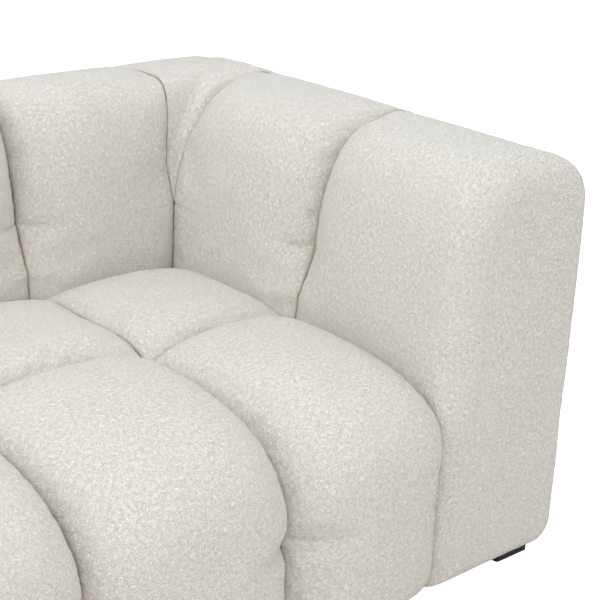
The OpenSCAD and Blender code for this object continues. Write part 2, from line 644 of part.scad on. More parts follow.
// A foot's outline, a square with rounded corners
module foot_outline() {
  flat = foot_side - 2*foot_r;
  square([foot_side, flat], center = true);
  square([flat, foot_side], center = true);
  for (x = [-flat/2, flat/2], y = [-flat/2, flat/2]) translate([x, y]) circle(r = foot_r, $fn = round_n);
}
module feet() {
  color(black) for (p = foot_places) translate([p[0], p[1], 0]) difference() {
    linear_extrude(foot_h) foot_outline();
    cylinder(d = bolt_d + 2*fit, h = foot_h, $fn = round_n);
    cylinder(d = bolt_head_d + 2*head_clear, h = head_recess, $fn = round_n);
  }
}
module foot_bolts() {
  color(steel) for (p = foot_places) translate([p[0], p[1], head_recess]) {
    translate([0, 0, -bolt_head_h]) cylinder(d = bolt_head_d, h = bolt_head_h, $fn = round_n);
    cylinder(d = bolt_d, h = bolt_l, $fn = round_n);
  }
}
module t_nuts() {
  color(steel) for (p = foot_places) translate([p[0], p[1], block_top_z]) difference() {
    union() {
      translate([0, 0, -nut_l]) cylinder(d = nut_d, h = nut_l, $fn = round_n);
      cylinder(d = nut_flange_d, h = nut_flange_t, $fn = round_n);
    }
    translate([0, 0, -nut_l]) cylinder(d = bolt_d + 2*fit, h = nut_l + nut_flange_t, $fn = round_n);
  }
}
module block_screws() {
  color(steel) {
    front_screws();
    rear_screws();
    both_sides() side_screws();
  }
}

// Springs: flat zigzags from the front rail to the rear one, each end held by a clip
spring_start_y = front_rail_y + rail_t/2;
spring_end_y = post_y + rail_t/2;
spring_pitch = (spring_end_y - spring_start_y)/(bars - 1);
bar_l = loop_w - spring_pitch;
spring_xs = [for (i = [1:columns], share = [0.25, 0.75]) seam_x(i - 1) + (seam_x(i) - seam_x(i - 1))*share];
// One edge of a spring's outline: along each bar, then round the bend to the next
bend_steps = 5;
function spring_edge(w) = let (r = spring_pitch/2) [for (i = [0:bars - 1]) let (d = i%2 == 0 ? 1 : -1,
    y = i*spring_pitch) each concat([[-d*bar_l/2, y + d*w/2], [d*bar_l/2, y + d*w/2]], i == bars - 1 ? [] :
  [for (k = [1:bend_steps - 1]) let (t = 180*k/bend_steps - 90)
    [d*(bar_l/2 + (r - d*w/2)*cos(t)), y + r + (r - d*w/2)*sin(t)]])];
function reversed(list) = [for (i = [len(list) - 1:-1:0]) list[i]];
module spring() {
  linear_extrude(wire_t) polygon(concat(spring_edge(wire_t), reversed(spring_edge(-wire_t))));
}
module seat_springs() {
  color(steel) for (x = spring_xs) translate([x, spring_start_y, spring_rail_z]) spring();
}
clip_w = 16;
module spring_clips() {
  color(steel) for (x = spring_xs, y = [spring_start_y, spring_end_y]) translate([x, y, spring_rail_z])
    difference() {
      translate([-clip_l/2, -clip_w/2, 0]) cube([clip_l, clip_w, clip_h]);
      translate([-clip_l/2, -wire_t/2 - fit, 0]) cube([clip_l, wire_t + 2*fit, wire_t + fit]);
    }
}
module back_webbing() {
  color(black) for (i = [1:columns]) translate([(seam_x(i - 1) + seam_x(i))/2, back_y + web_in, 0])
    slab([-webbing_w/2, 0, spring_rail_z - rail_t], [webbing_w/2, webbing_t, board_z]);
}

// Felt and foam
module spring_insulator() {
  color(felt_colour) difference() {
    slab([-seat_half, front_rail_y + rail_t, felt_z], [seat_half, back_y + web_in - gap, felt_z + felt_t]);
    seat_tie_holes();
  }
}
module seat_foam() {
  half = seat_half + web_in - gap;
  rear = back_y + web_in - gap;
  slope = slope_l/(deck_z - slope_z);
  front = front_y + front_in + gap;
  outline = [[front + slope*(foam_z - slope_z) + gap, foam_z], [rear, foam_z], [rear, deck_z - gap],
    [front + slope_l, deck_z - gap]];
  color(foam_colour) difference() {
    translate([-half, 0, 0]) rotate([90, 0, 90]) linear_extrude(2*half) polygon(outline);
    seat_tie_holes();
  }
}
module back_foam() {
  half = seat_half + web_in - gap;
  color(foam_colour) difference() {
    slab([-half, back_y + foam_in, deck_z], [half, back_y + foam_in + side_foam_t, shoulder_z - gap]);
    back_tie_holes();
  }
}
module arm_foams() {
  color(foam_colour) both_sides() difference() {
    slab([seat_half + foam_in, front_y + arm_front_pad_t + gap, deck_z],
      [seat_half + foam_in + side_foam_t, back_y + foam_in - gap, shoulder_z - gap]);
    arm_tie_hole(pad_t, foam_in + side_foam_t - pad_t);
  }
}

// Tuft ties: twine from each tuft through the foam to a washer behind it
seam_xs = [for (i = [1:columns - 1]) seam_x(i)];
module tie(l, clear = 0) { rotate([-90, 0, 0]) cylinder(d = tie_d + 2*clear, h = l, $fn = round_n); }
module tie_washer() {
  rotate([-90, 0, 0]) difference() {
    cylinder(d = washer_d, h = washer_t, $fn = round_n);
    cylinder(d = tie_d + 2*fit, h = washer_t, $fn = round_n);
  }
}
module front_tie_places() { for (x = seam_xs) translate([x, front_y + front_in, front_tuft_z]) children(); }
module back_tie_places() { for (x = seam_xs) translate([x, back_y + pad_t, tuft_z]) children(); }
module seat_tie_places() { for (x = seam_xs) translate([x, row_y, deck_z]) rotate([-90, 0, 0]) children(); }
module arm_tie_place() { translate([seat_half, row_y, tuft_z]) rotate([0, 0, -90]) children(); }
module front_tie_holes() { front_tie_places() tie(rail_t + gap, fit); }
module back_tie_holes() { back_tie_places() tie(web_in - pad_t, fit); }
module seat_tie_holes() { seat_tie_places() tie(deck_z - felt_z, fit); }
module arm_tie_hole(start, l) { arm_tie_place() translate([0, start, 0]) tie(l, fit); }
module tuft_ties() {
  color(cream) {
    front_tie_places() translate([0, gap, 0]) tie(rail_t + washer_t);
    back_tie_places() translate([0, gap, 0]) tie(web_in - foam_in + washer_t);
    seat_tie_places() translate([0, gap, 0]) tie(deck_z - felt_z + washer_t);
    both_sides() arm_tie_place() translate([0, foam_in, 0]) tie(skin_in - foam_in + washer_t);
  }
}
module tie_washers() {
  color(steel) {
    front_tie_places() translate([0, rail_t + gap, 0]) tie_washer();
    back_tie_places() translate([0, web_in - pad_t, 0]) tie_washer();
    seat_tie_places() translate([0, deck_z - felt_z, 0]) tie_washer();
    both_sides() arm_tie_place() translate([0, skin_in, 0]) tie_washer();
  }
}

seat_front(1);  // seat_front_1
seat_front(2);  // seat_front_2
seat_front(3);  // seat_front_3
seat_front(4);  // seat_front_4
seat_front(5);  // seat_front_5
seat_rear(1);  // seat_rear_1
seat_rear(2);  // seat_rear_2
seat_rear(3);  // seat_rear_3
seat_rear(4);  // seat_rear_4
seat_rear(5);  // seat_rear_5
back_channel(1);  // back_channel_1
back_channel(2);  // back_channel_2
back_channel(3);  // back_channel_3
back_channel(4);  // back_channel_4
back_channel(5);  // back_channel_5
corner_left();
corner_right();
arm_rear_left();
arm_rear_right();
arm_front_left();
arm_front_right();
outer_side_left();
outer_side_right();
outer_back();
dust_cover();
side_boards();
back_board();
arm_skins();
arm_top_boards();
back_top_board();
front_rail();
rear_spring_rail();
arm_front_posts();
arm_inner_posts();
back_posts();
arm_low_rails();
rear_low_rail();
seat_stretchers();
back_front_rail();
back_tack_rail();
foot_blocks();
seat_springs();
spring_clips();
back_webbing();
spring_insulator();
seat_foam();
back_foam();
arm_foams();
feet();
foot_bolts();
t_nuts();
block_screws();
tuft_ties();
tie_washers();
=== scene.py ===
import math
import bmesh
import bpy
import numpy as np
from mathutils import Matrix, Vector


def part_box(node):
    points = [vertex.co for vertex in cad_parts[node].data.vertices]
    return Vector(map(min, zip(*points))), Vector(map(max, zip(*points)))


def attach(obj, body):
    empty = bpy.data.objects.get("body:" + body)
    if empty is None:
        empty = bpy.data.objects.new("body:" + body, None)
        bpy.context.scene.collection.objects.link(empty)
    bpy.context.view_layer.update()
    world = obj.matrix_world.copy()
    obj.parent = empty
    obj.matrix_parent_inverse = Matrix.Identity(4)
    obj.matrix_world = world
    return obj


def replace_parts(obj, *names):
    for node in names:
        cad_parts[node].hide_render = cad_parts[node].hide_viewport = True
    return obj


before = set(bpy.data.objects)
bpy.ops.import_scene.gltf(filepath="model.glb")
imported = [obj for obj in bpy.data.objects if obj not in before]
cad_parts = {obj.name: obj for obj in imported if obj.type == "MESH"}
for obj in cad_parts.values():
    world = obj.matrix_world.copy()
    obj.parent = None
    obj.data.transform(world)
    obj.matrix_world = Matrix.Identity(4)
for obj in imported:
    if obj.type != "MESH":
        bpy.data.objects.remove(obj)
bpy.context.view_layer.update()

# Camera. It stands where the photograph was taken from, in front of the sofa's left half, and looks down
# at the right end: its place and angles were solved from the seams and edges there.
arm_low, arm_high = np.array(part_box("arm_front_right"))
eye_left, eye_out, eye_h = 1.7502, 1.5067, 1.3623
eye = np.array([arm_low[0] - eye_left, arm_low[1] - eye_out, eye_h])
yaw, pitch, roll = np.radians([42.97, -20.07, 3.07])
focal_px = 1586.1
frame_px = 600
ahead = np.array([math.sin(yaw) * math.cos(pitch), math.cos(yaw) * math.cos(pitch), math.sin(pitch)])
level = np.array([math.cos(yaw), -math.sin(yaw), 0.0])
above = np.cross(level, ahead)
lens = bpy.data.cameras.new("camera")
lens.lens = focal_px / frame_px * lens.sensor_width
camera = bpy.data.objects.new("camera", lens)
turn = np.eye(4)
turn[:3, 0] = level * math.cos(roll) + above * math.sin(roll)
turn[:3, 1] = above * math.cos(roll) - level * math.sin(roll)
turn[:3, 2] = -ahead
turn[:3, 3] = eye
camera.matrix_world = turn.T.tolist()
bpy.context.scene.collection.objects.link(camera)
bpy.context.scene.camera = camera


# Boucle. A looped wool and cotton cloth, cream, with a warmer painted shade between its loops. Every cover is
# cut from it, and the loops lie in small irregular clumps that catch the light.
class Wire:
    """A value in a material's nodes. Sums, differences and products of wires add Math nodes."""

    def __init__(self, tree, socket=None):
        self.tree = tree
        self.socket = socket

    def node(self, kind, settings, values, out=0):
        """Adds a node of a kind, with its settings and the values or wires of its sockets."""
        made = self.tree.nodes.new(kind)
        for name, value in settings.items():
            setattr(made, name, value)
        for name, value in values.items():
            if isinstance(value, Wire):
                self.tree.links.new(value.socket, made.inputs[name])
            else:
                made.inputs[name].default_value = value
        return Wire(self.tree, made.outputs[out])

    def math(self, operation, first, second=0.0):
        return self.node("ShaderNodeMath", {"operation": operation}, {0: first, 1: second})

    def __add__(self, other):
        return self.math("ADD", self, other)

    def __radd__(self, other):
        return self.math("ADD", other, self)

    def __sub__(self, other):
        return self.math("SUBTRACT", self, other)

    def __rsub__(self, other):
        return self.math("SUBTRACT", other, self)

    def __mul__(self, other):
        return self.math("MULTIPLY", self, other)

    def __rmul__(self, other):
        return self.math("MULTIPLY", other, self)

    def ridge(self):
        """1 where the wire is a half, falling to 0 where it is 0 or 1."""
        return 1 - self.math("ABSOLUTE", self * 2 - 1)

    def fraction(self):
        """The wire less its last whole number."""
        return self.math("FRACT", self)

    def wave(self, pitch):
        """Sine of the wire, with one wave in each pitch in metres."""
        return self.math("SINE", self * (2 * math.pi / pitch))

    def noise(self, size, detail=2.0, out="Fac"):
        """Noise with features of the given size in metres, on the wire's coordinates."""
        return self.node("ShaderNodeTexNoise", {}, {"Vector": self, "Scale": 1 / size, "Detail": detail}, out)

    def cells(self, size, out="Distance"):
        """Irregular cells of the given size in metres: the distance from each one's middle, or its colour."""
        return self.node("ShaderNodeTexVoronoi", {}, {"Vector": self, "Scale": 1 / size}, out)

    def stretched(self, sizes):
        """The wire's coordinates with each axis scaled."""
        return self.node("ShaderNodeMapping", {}, {"Vector": self, "Scale": sizes})

    def shade(self, low, high):
        """Colour between low and high, by the wire."""
        return self.node("ShaderNodeMix", {"data_type": "RGBA"}, {0: self, 6: (*low, 1), 7: (*high, 1)}, 2)

    def step(self, low, high):
        """0 below low and 1 above high, with a smooth rise between."""
        values = {"Value": self, "From Min": low, "From Max": high}
        return self.node("ShaderNodeMapRange", {"interpolation_type": "SMOOTHSTEP"}, values)


def material(name, **constants):
    """A new material with its constants, its first wire on Object coordinates, and its shader."""
    made = bpy.data.materials.new(name)
    made.use_nodes = True
    shader = made.node_tree.nodes["Principled BSDF"]
    for socket, value in constants.items():
        shader.inputs[socket.replace("_", " ")].default_value = value
    place = Wire(made.node_tree).node("ShaderNodeTexCoord", {}, {}, "Object")
    return made, place, shader


def finish(place, shader, colour, rough, height, depth):
    """Links colour and roughness, and a height field that is depth metres high, to a shader."""
    for name, wire in (("Base Color", colour), ("Roughness", rough)):
        place.tree.links.new(wire.socket, shader.inputs[name])
    bump = place.node("ShaderNodeBump", {}, {"Height": height, "Distance": depth, "Strength": 1.0}, "Normal")
    place.tree.links.new(bump.socket, shader.inputs["Normal"])


def boucle_cloth():
    """Loops are long round cells of three sets, each drawn out along another way, with coordinates bent by
    noise so that they curl. Fine noise gives their fibres. Height sets bump and colour: where the loops sink,
    the colour falls to boucle_painted_shade, a painted shade, and fibres and broad patches vary the tone at
    random. The mesh's own value seam, 1 in a seam, mixes in painted_seam_shade, the painted shade of the
    seams."""
    made, place, shader = material("boucle", Sheen_Weight=0.25, Sheen_Roughness=0.6, Specular_IOR_Level=0.2)
    shift = place.noise(curl_size, 1.0, "Color")
    spread = place.node("ShaderNodeVectorMath", {"operation": "SCALE"}, {0: shift, "Scale": curl_reach})
    bent = place.node("ShaderNodeVectorMath", {"operation": "ADD"}, {0: place, 1: spread})
    nubs = 0.0
    for stretch in loop_stretches:
        nubs = place.math("MAXIMUM", nubs, 1 - bent.stretched(stretch).cells(loop_size).step(0.05, 0.7))
    fibres = place.noise(fibre_size)
    height = nubs * 0.75 + fibres * 0.35
    # Tone is low where the loops sink, which paints shade between them, and fibres and patches vary it at
    # random.
    tone = nubs * 0.6 + fibres * 0.3 + place.noise(patch_size) * 0.15
    weave = tone.step(0.1, 0.95).shade(boucle_painted_shade, boucle_light)
    # The value seam mixes in painted_seam_shade: painted shade in the seams, the tufts' creases and the
    # blocks' hidden walls.
    seam = place.node("ShaderNodeAttribute", {"attribute_name": "seam"}, {}, "Fac")
    colour = place.node("ShaderNodeMix", {"data_type": "RGBA"}, {0: seam, 6: weave, 7: (*painted_seam_shade, 1)}, 2)
    finish(place, shader, colour, 0.97 - nubs * 0.1, height, loop_height)
    return made


curl_size = 0.008
curl_reach = 0.009
loop_size = 0.0020
loop_height = 0.0017
loop_stretches = ((0.7, 1.0, 1.2), (1.2, 0.7, 1.0), (1.0, 1.2, 0.7))
fibre_size = 0.0011
patch_size = 0.06
# boucle_light is the cloth's cream. boucle_painted_shade is the painted shade between its loops.
boucle_light = (0.95, 0.938, 0.900)
boucle_painted_shade = (0.78, 0.75, 0.68)
# Brown painted shade for the seams and creases.
painted_seam_shade = (0.36, 0.27, 0.18)
boucle = boucle_cloth()


# Seat front blocks. Each is one sewn cover stuffed with fibre, from the seam between the seat's two rows
# over the front edge and down the front face. Twine through the foam pulls in the tufts at its corners.
def corners_of(node):
    """The lowest and the highest corner of a node's box."""
    return [np.array(corner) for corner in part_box(node)]


def profile(start, *bends):
    """Points from start through bends of (way, end, exponent), with fine_n points in each. With t from 0
    to 90 degrees and s = 2/exponent, 'up' leaves upright, by the shares 1 - cos(t)^s and sin(t)^s, 'level'
    leaves level, by sin(t)^s and 1 - cos(t)^s, and 'straight' is a line."""
    t = np.linspace(0, math.pi / 2, 8 * fine_n + 1)
    points = [np.array([start], float)]
    for way, end, exponent in bends:
        slow = 1 - np.cos(t).clip(0) ** (2 / exponent)
        fast = np.sin(t) ** (2 / exponent)
        even = t / (math.pi / 2)
        shares = {"up": (slow, fast), "level": (fast, slow), "straight": (even, even)}[way]
        first = points[-1][-1]
        path = first + (np.array(end) - first) * np.stack(shares, 1)
        length = np.concatenate([[0], np.cumsum(np.linalg.norm(np.diff(path, axis=0), axis=1))])
        steps = np.linspace(0, length[-1], fine_n + 1)[1:]
        points.append(np.stack([np.interp(steps, length, path[:, i]) for i in (0, 1)], 1))
    return np.vstack(points)


def counted(counts):
    """The solid's row at each point of a profile whose bends have the given counts of rows."""
    return np.concatenate([[0]] + [low + np.arange(1, fine_n + 1) / fine_n * n
                                   for low, n in zip(np.cumsum((0,) + counts), counts)])


def hidden(counts, *stops):
    """Profile of a flat back through stops of (row, distance in, height), on rows counted by counts."""
    at = np.array(stops, float)
    return np.stack([np.interp(counted(counts), at[:, 0], at[:, i]) for i in (1, 2)], 1)


def spaced(profiles, cell):
    """The profiles on rows about a cell apart, evenly along the mean of the first two."""
    mean = (profiles[0] + profiles[1]) / 2
    length = np.concatenate([[0], np.cumsum(np.linalg.norm(np.diff(mean, axis=0), axis=1))])
    rows = np.linspace(0, length[-1], int(length[-1] / cell) + 1)
    return [np.stack([np.interp(rows, length, p[:, i]) for i in (0, 1)], 1) for p in profiles]


def swell(u, width):
    """How far a block's surface has risen from its seams to its crown at the share u of its width:
    (1 - |2u - 1|^a)^b, with a in proportion to the width, so that all rise alike beside their seams."""
    return (1 - np.abs(2 * u - 1) ** (width / swell_l)) ** swell_out


def doubled(grid):
    """A grid with twice as many cells each way: new points are (-1, 9, 9, -1)/16 of their neighbours."""
    for _ in range(2):
        ends = np.concatenate([2 * grid[:1] - grid[1:2], grid, 2 * grid[-1:] - grid[-2:-1]])
        fresh = (9 * (ends[1:-2] + ends[2:-1]) - ends[:-3] - ends[3:]) / 16
        out = np.empty((2 * len(grid) - 1,) + grid.shape[1:])
        out[::2] = grid
        out[1::2] = fresh
        grid = out.swapaxes(0, 1)
    return grid


def normals_of(grid, centre):
    """Unit normals of a grid, pointing away from centre: the cross product of its two slopes."""
    cross = np.cross(np.gradient(grid, axis=0), np.gradient(grid, axis=1))
    cross /= np.linalg.norm(cross, axis=-1, keepdims=True).clip(1e-12)
    return cross if ((grid - centre) * cross).sum() > 0 else -cross


def wobble(points, size, seed):
    """Smooth random field of points from -1 to 1: random values on a cubic lattice of the given size,
    blended by 3t^2 - 2t^3. The lattice repeats after lattice_n cells."""
    lattice = np.random.default_rng(seed).uniform(-1, 1, (lattice_n, lattice_n, lattice_n))
    cell = np.floor(points / size).astype(int)
    t = points / size - cell
    t = t * t * (3 - 2 * t)
    total = 0
    for corner in np.ndindex(2, 2, 2):
        weight = np.prod(np.where(corner, t, 1 - t), axis=-1)
        total = total + weight * lattice[tuple(np.moveaxis((cell + corner) % lattice_n, -1, 0))]
    return total


def lively(grid, centre, pucker, seed, fold=0):
    """Moves a block's surface along its normals: soft lumps of the stuffing, gathers beside its seams, of
    height pucker from 0 to 1, the clumps of the loops, and a crease where fold is 1."""
    inner = np.minimum(pucker, 1)
    depth = lump_h * wobble(grid, lump_size, seed) * (1 - inner) ** 2
    depth += gather_h * wobble(grid, gather_size, seed + 1) * inner * (1 - inner) * 4
    depth += clump_h * wobble(grid, clump_size, seed + 2) - crease_h * fold
    return grid + normals_of(grid, centre) * depth[..., None]


def mesh_piece(name, points, faces, fill=None, cloth=None):
    """An object of the points and faces, turned outwards by the sign of its volume, in boucle or a cloth."""
    shape = bpy.data.meshes.new(name)
    shape.from_pydata(points, [], faces)
    shape.update()
    piece = bpy.data.objects.new(name, shape)
    bpy.context.scene.collection.objects.link(piece)
    corners = np.empty(len(shape.loops), int)
    shape.loops.foreach_get("vertex_index", corners)
    starts = np.empty(len(shape.polygons), int)
    shape.polygons.foreach_get("loop_start", starts)
    first, second, third = (points[corners[starts + i]] for i in range(3))
    if (first * np.cross(second, third)).sum() < 0:
        shape.flip_normals()
    shape.set_sharp_from_angle(angle=sharp_angle)
    shape.materials.append(cloth or boucle)
    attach(piece, "root")
    return piece


def closed_rings(rings):
    """Points and faces of a stack of closed rings, with both ends closed."""
    n, m = rings.shape[:2]
    a = (np.arange(n - 1)[:, None] * m + np.arange(m)).ravel()
    b = (np.arange(n - 1)[:, None] * m + (np.arange(m) + 1) % m).ravel()
    faces = np.stack([a, b, b + m, a + m], 1).tolist()
    return rings.reshape(-1, 3), faces + [list(range(m))[::-1], list(range((n - 1) * m, n * m))]


def paint_seam_shade(piece, near, fold=0):
    """Keeps on a piece's mesh the value seam, its share of painted seam shade: exp(-(d/r)^2) of each vertex's
    distance d from the nearest seam, strong within seam_reach and faint within painted_shade_spread, or where
    it is more, a share of fold, the painted shade of a tuft's crease."""
    narrow, wide = (np.exp(-(np.asarray(near, float) / reach) ** 2) for reach in (seam_reach, painted_shade_spread))
    value = piece.data.attributes.new("seam", "FLOAT", "POINT")
    shaded = (1 - spread_shade_share) * narrow + spread_shade_share * wide
    value.data.foreach_set("value", np.maximum(shaded, painted_fold_shade * fold))


def filled_out(grid, centre):
    """The seen surface of a cover after a cloth simulation on its grid. Its border is sewn down, the filling
    presses from inside, and the cloth, cut slack larger than its form, gathers where it is held. No point
    moves further than puff_cap."""
    n, m = grid.shape[:2]
    a = (np.arange(n - 1)[:, None] * m + np.arange(m - 1)).ravel()
    across = np.cross(grid[1, 0] - grid[0, 0], grid[0, 1] - grid[0, 0])
    inside_out = (across * normals_of(grid, centre)[0, 0]).sum() < 0
    order = [0, 1, m + 1, m] if inside_out else [0, m, m + 1, 1]
    shape = bpy.data.meshes.new("cloth")
    shape.from_pydata(grid.reshape(-1, 3), [], (a[:, None] + np.array(order)).tolist())
    sheet = bpy.data.objects.new("cloth", shape)
    bpy.context.scene.collection.objects.link(sheet)
    at = np.arange(n * m).reshape(n, m)
    border = np.concatenate([at[0], at[-1], at[:, 0], at[:, -1]])
    sheet.vertex_groups.new(name="sewn").add(border.tolist(), 1.0, "REPLACE")
    cloth = sheet.modifiers.new("cloth", "CLOTH")
    for name, value in cloth_settings.items():
        setattr(cloth.settings, name, value)
    cloth.settings.effector_weights.gravity = 0
    cloth.collision_settings.use_collision = False
    cloth.point_cache.frame_end = cloth_frames
    for number in range(1, cloth_frames + 1):
        bpy.context.scene.frame_set(number)
    shown = sheet.evaluated_get(bpy.context.evaluated_depsgraph_get())
    moved = np.empty(3 * n * m)
    shown.data.vertices.foreach_get("co", moved)
    bpy.data.objects.remove(sheet)
    bpy.context.scene.frame_set(1)
    step = moved.reshape(n, m, 3) - grid
    length = np.linalg.norm(step, axis=-1, keepdims=True)
    return grid + step * np.minimum(1, puff_cap / length.clip(1e-9))


def stuffed(node, start, along, inward, width, first, crown, last, back, fill, seed, tuft_h=-1):
    """A stuffed block. Across its width, from the seam profile first over the crown profile to the seam
    profile last, a point is seam + swell(u)*(crown - seam), and its flat back follows the profile back.
    Creases run out from its tufts at the height tuft_h."""
    crown, first, last, back = spaced((crown, first, last, back), cell_size)
    even = np.linspace(0, 1, int(width / cell_size) + 1)
    u = even * (1 - edge_pull) + edge_pull * (1 - np.cos(math.pi * even)) / 2
    seam = np.where(u[:, None] < 0.5, first[:, None], last[:, None])
    place = seam + swell(u, width)[:, None] * (crown[:, None] - seam)
    up = z_axis
    grid = start + u[:, None] * width * along + place[..., :1] * inward + place[..., 1:] * up
    centre = grid.mean((0, 1)) + heart_depth * (inward - up)
    grid = doubled(filled_out(grid, centre))
    u = doubled(np.repeat(u[None, :, None], 3, 0))[0, :, 0]
    hold = doubled(np.repeat(back[:, None], 3, 1))[:, 0]
    pucker = np.broadcast_to(np.exp(-np.minimum(u, 1 - u) * width / gather_reach), grid.shape[:2])
    beside = np.minimum(u, 1 - u) * width
    fold = np.exp(-((grid[..., 2] - tuft_h) / crease_r) ** 2 - (beside / crease_l) ** 2)
    grid = lively(grid, centre, pucker, seed, fold)
    side = [start + share * width * along + hold[:, :1] * inward + hold[:, 1:] * up for share in (1, 0)]
    points, faces = closed_rings(np.concatenate([grid, side[0][:, None], side[1][:, None]], 1))
    piece = mesh_piece("cover_" + node, points, faces, fill)
    # Painted seam shade: by distance from the side seams and the front row, in the tufts' creases, and in
    # full over the hidden closing walls.
    near = np.minimum(beside[None], np.arange(len(grid))[:, None] * cell_size / 2)
    hidden_side = np.zeros((len(grid), 2))
    paint_seam_shade(piece, *(np.concatenate([value, hidden_side], 1).ravel() for value in (near, fold)))
    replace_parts(piece, node)


gap = 0.0003
fine_n = 60
cell_size = 0.009
edge_pull = 0.55
swell_l = 0.124
swell_out = 0.66
lump_h = 0.0012
lump_size = 0.09
gather_h = 0.0010
gather_size = 0.016
gather_reach = 0.02
lattice_n = 32
sharp_angle = math.radians(50)
heart_depth = 0.1
# Reaches and shares of the painted shade beside seams and in creases.
seam_reach = 0.0020
painted_shade_spread = 0.013
spread_shade_share = 0.12
painted_fold_shade = 0.3
crease_h = 0.0012
crease_r = 0.0035
crease_l = 0.055
cloth_frames = 16
puff_cap = 0.005
cloth_settings = {"quality": 6, "mass": 0.4, "tension_stiffness": 30, "compression_stiffness": 30,
                  "shear_stiffness": 10, "bending_stiffness": 3, "air_damping": 2, "shrink_min": -0.005,
                  "use_pressure": True, "uniform_pressure_force": 1, "vertex_group_mass": "sewn",
                  "pin_stiffness": 50}
clump_h = 0.0005
clump_size = 0.010
seat_fill = 0.75

seat_low, seat_high = corners_of("seat_front_2")
back_low, back_high = corners_of("back_channel_2")
x_axis, y_axis, z_axis = np.eye(3)
columns = 5
front_y = arm_low[1]
skirt_z = seat_low[2]
seat_h = seat_high[2]
row_d = seat_high[1] - front_y
proud = front_y - seat_low[1]
deck_z = back_low[2]
seat_seam_in = 0.058
seat_end_in = 0.046
seat_tuft_in = 0.014
seat_rise = 0.095
side_in = 0.024
front_seam_in = 0.052
front_tuft_in = 0.080
pinch_h = 0.032
front_tuft_z = seat_h - 0.224
front_back = 0.085
slope_l = 0.065
slope_z = 0.2633
face_r = 0.052
tuck_in = 0.032
hem_seam_out = 0.006
front_counts = (3, 6, 0.4, 0.6, 1, 3)
seam_z = seat_h - seat_seam_in
front_crown = profile((row_d, seat_h - seat_end_in), ("up", (row_d - seat_rise, seat_h), 2.2),
                      ("level", (-proud, front_tuft_z + pinch_h), 3), ("straight", (-proud, front_tuft_z), 1),
                      ("straight", (-proud, front_tuft_z - pinch_h), 1),
                      ("straight", (-proud, skirt_z + face_r), 1), ("up", (tuck_in, skirt_z), 2))
front_seam = profile((row_d, seam_z - seat_tuft_in), ("up", (row_d - seat_rise / 2, seam_z), 2),
                     ("level", (front_seam_in, front_tuft_z + pinch_h), 2),
                     ("straight", (front_tuft_in, front_tuft_z), 1),
                     ("straight", (front_seam_in, front_tuft_z - pinch_h), 1),
                     ("straight", (front_seam_in - hem_seam_out, skirt_z + face_r), 1),
                     ("up", (front_seam_in, skirt_z), 2))
side_mid_z = (seam_z - seat_rise + skirt_z + face_r) / 2
front_side = profile((row_d, seam_z), ("straight", (row_d - seat_rise, seam_z), 1),
                     ("level", (side_in, seam_z - seat_rise), 3), ("straight", (side_in, side_mid_z), 1),
                     ("straight", (side_in, side_mid_z - pinch_h), 1),
                     ("straight", (side_in, skirt_z + face_r), 1), ("up", (tuck_in, skirt_z), 2))
front_hold = hidden(front_counts, (0, row_d, deck_z), (7, front_back + slope_l, deck_z),
                    (9, front_back, slope_z), (14, front_back, skirt_z))
for i in range(1, columns + 1):
    node = f"seat_front_{i}"
    low, high = corners_of(node)
    stuffed(node, np.array([low[0], front_y, 0]), x_axis, y_axis, high[0] - low[0],
            front_side if i == 1 else front_seam, front_crown, front_side if i == columns else front_seam,
            front_hold, seat_fill, 10 * i, front_tuft_z)

# Seat rear blocks. Like the front ones, but they end at the inner face of the back, under its channels.
rear_counts = (3, 1, 4)
rear_d = back_low[1] - front_y - 2 * gap
rear_rise = 0.160
rear_end_in = 0.074
rear_end_step = 0.006
rear_seam_in = 0.036
rear_side_in = 0.047
tuft_reach = 0.100
rear_crown = profile((row_d, seat_h - seat_end_in), ("up", (row_d + seat_rise, seat_h), 2.2),
                     ("straight", (rear_d - rear_rise, seat_h), 1),
                     ("level", (rear_d, seat_h - rear_end_in), 2))
rear_hold = hidden(rear_counts, (0, row_d, deck_z), (8, rear_d, deck_z))


def rear_seam(deep, tuft):
    """Seam profile, deep below the crown and by tuft deeper where it meets the front row."""
    rear_z = seat_h - deep
    return profile((row_d, seam_z - tuft), ("up", (row_d + tuft_reach, rear_z), 2),
                   ("straight", (rear_d - rear_rise / 2, rear_z), 1),
                   ("level", (rear_d, seat_h - rear_end_in - rear_end_step), 2))


middle = rear_seam(rear_seam_in, seat_tuft_in)
beside = rear_seam(rear_side_in, 0)
for i in range(1, columns + 1):
    node = f"seat_rear_{i}"
    low, high = corners_of(node)
    stuffed(node, np.array([low[0], front_y + gap, 0]), x_axis, y_axis, high[0] - low[0],
            beside if i == 1 else middle, rear_crown, beside if i == columns else middle, rear_hold,
            seat_fill, 100 + 10 * i)

# Back channels. One cover for each column runs up the inner face of the back and over its top to the
# outside cover, and is tufted to its neighbours halfway up.
shoulder_up = 0.076
crown_h = back_high[2]
back_y = back_low[1]
back_t = back_high[1] - back_y
arm_w = arm_high[0] - arm_low[0]
tuft_z = corners_of("corner_right")[0][2]
shoulder_z = tuft_z + shoulder_up
top_z = corners_of("outer_back")[1][2] + gap
pad_t = 0.080
deep_t = 0.0993
tuft_in = 0.060
crease_in = 0.005
fold_share = 0.28
fold_h = 0.082
top_seam_in = 0.032
corner_seam_in = 0.006
beak_seat_in = 0.026
beak_up = 0.068
climb_share = 0.68
crest_share = 0.79
top_fall = 0.068
edge_in = 0.016
edge_seam_in = 0.004
lip_t = 0.012
channel_fill = 0.8
crown_counts = (2, 6, 4, 1)
seam_counts = (1, 1, 5, 1, 4, 1)
beak_counts = (2, 1, 4, 1, 4, 1)


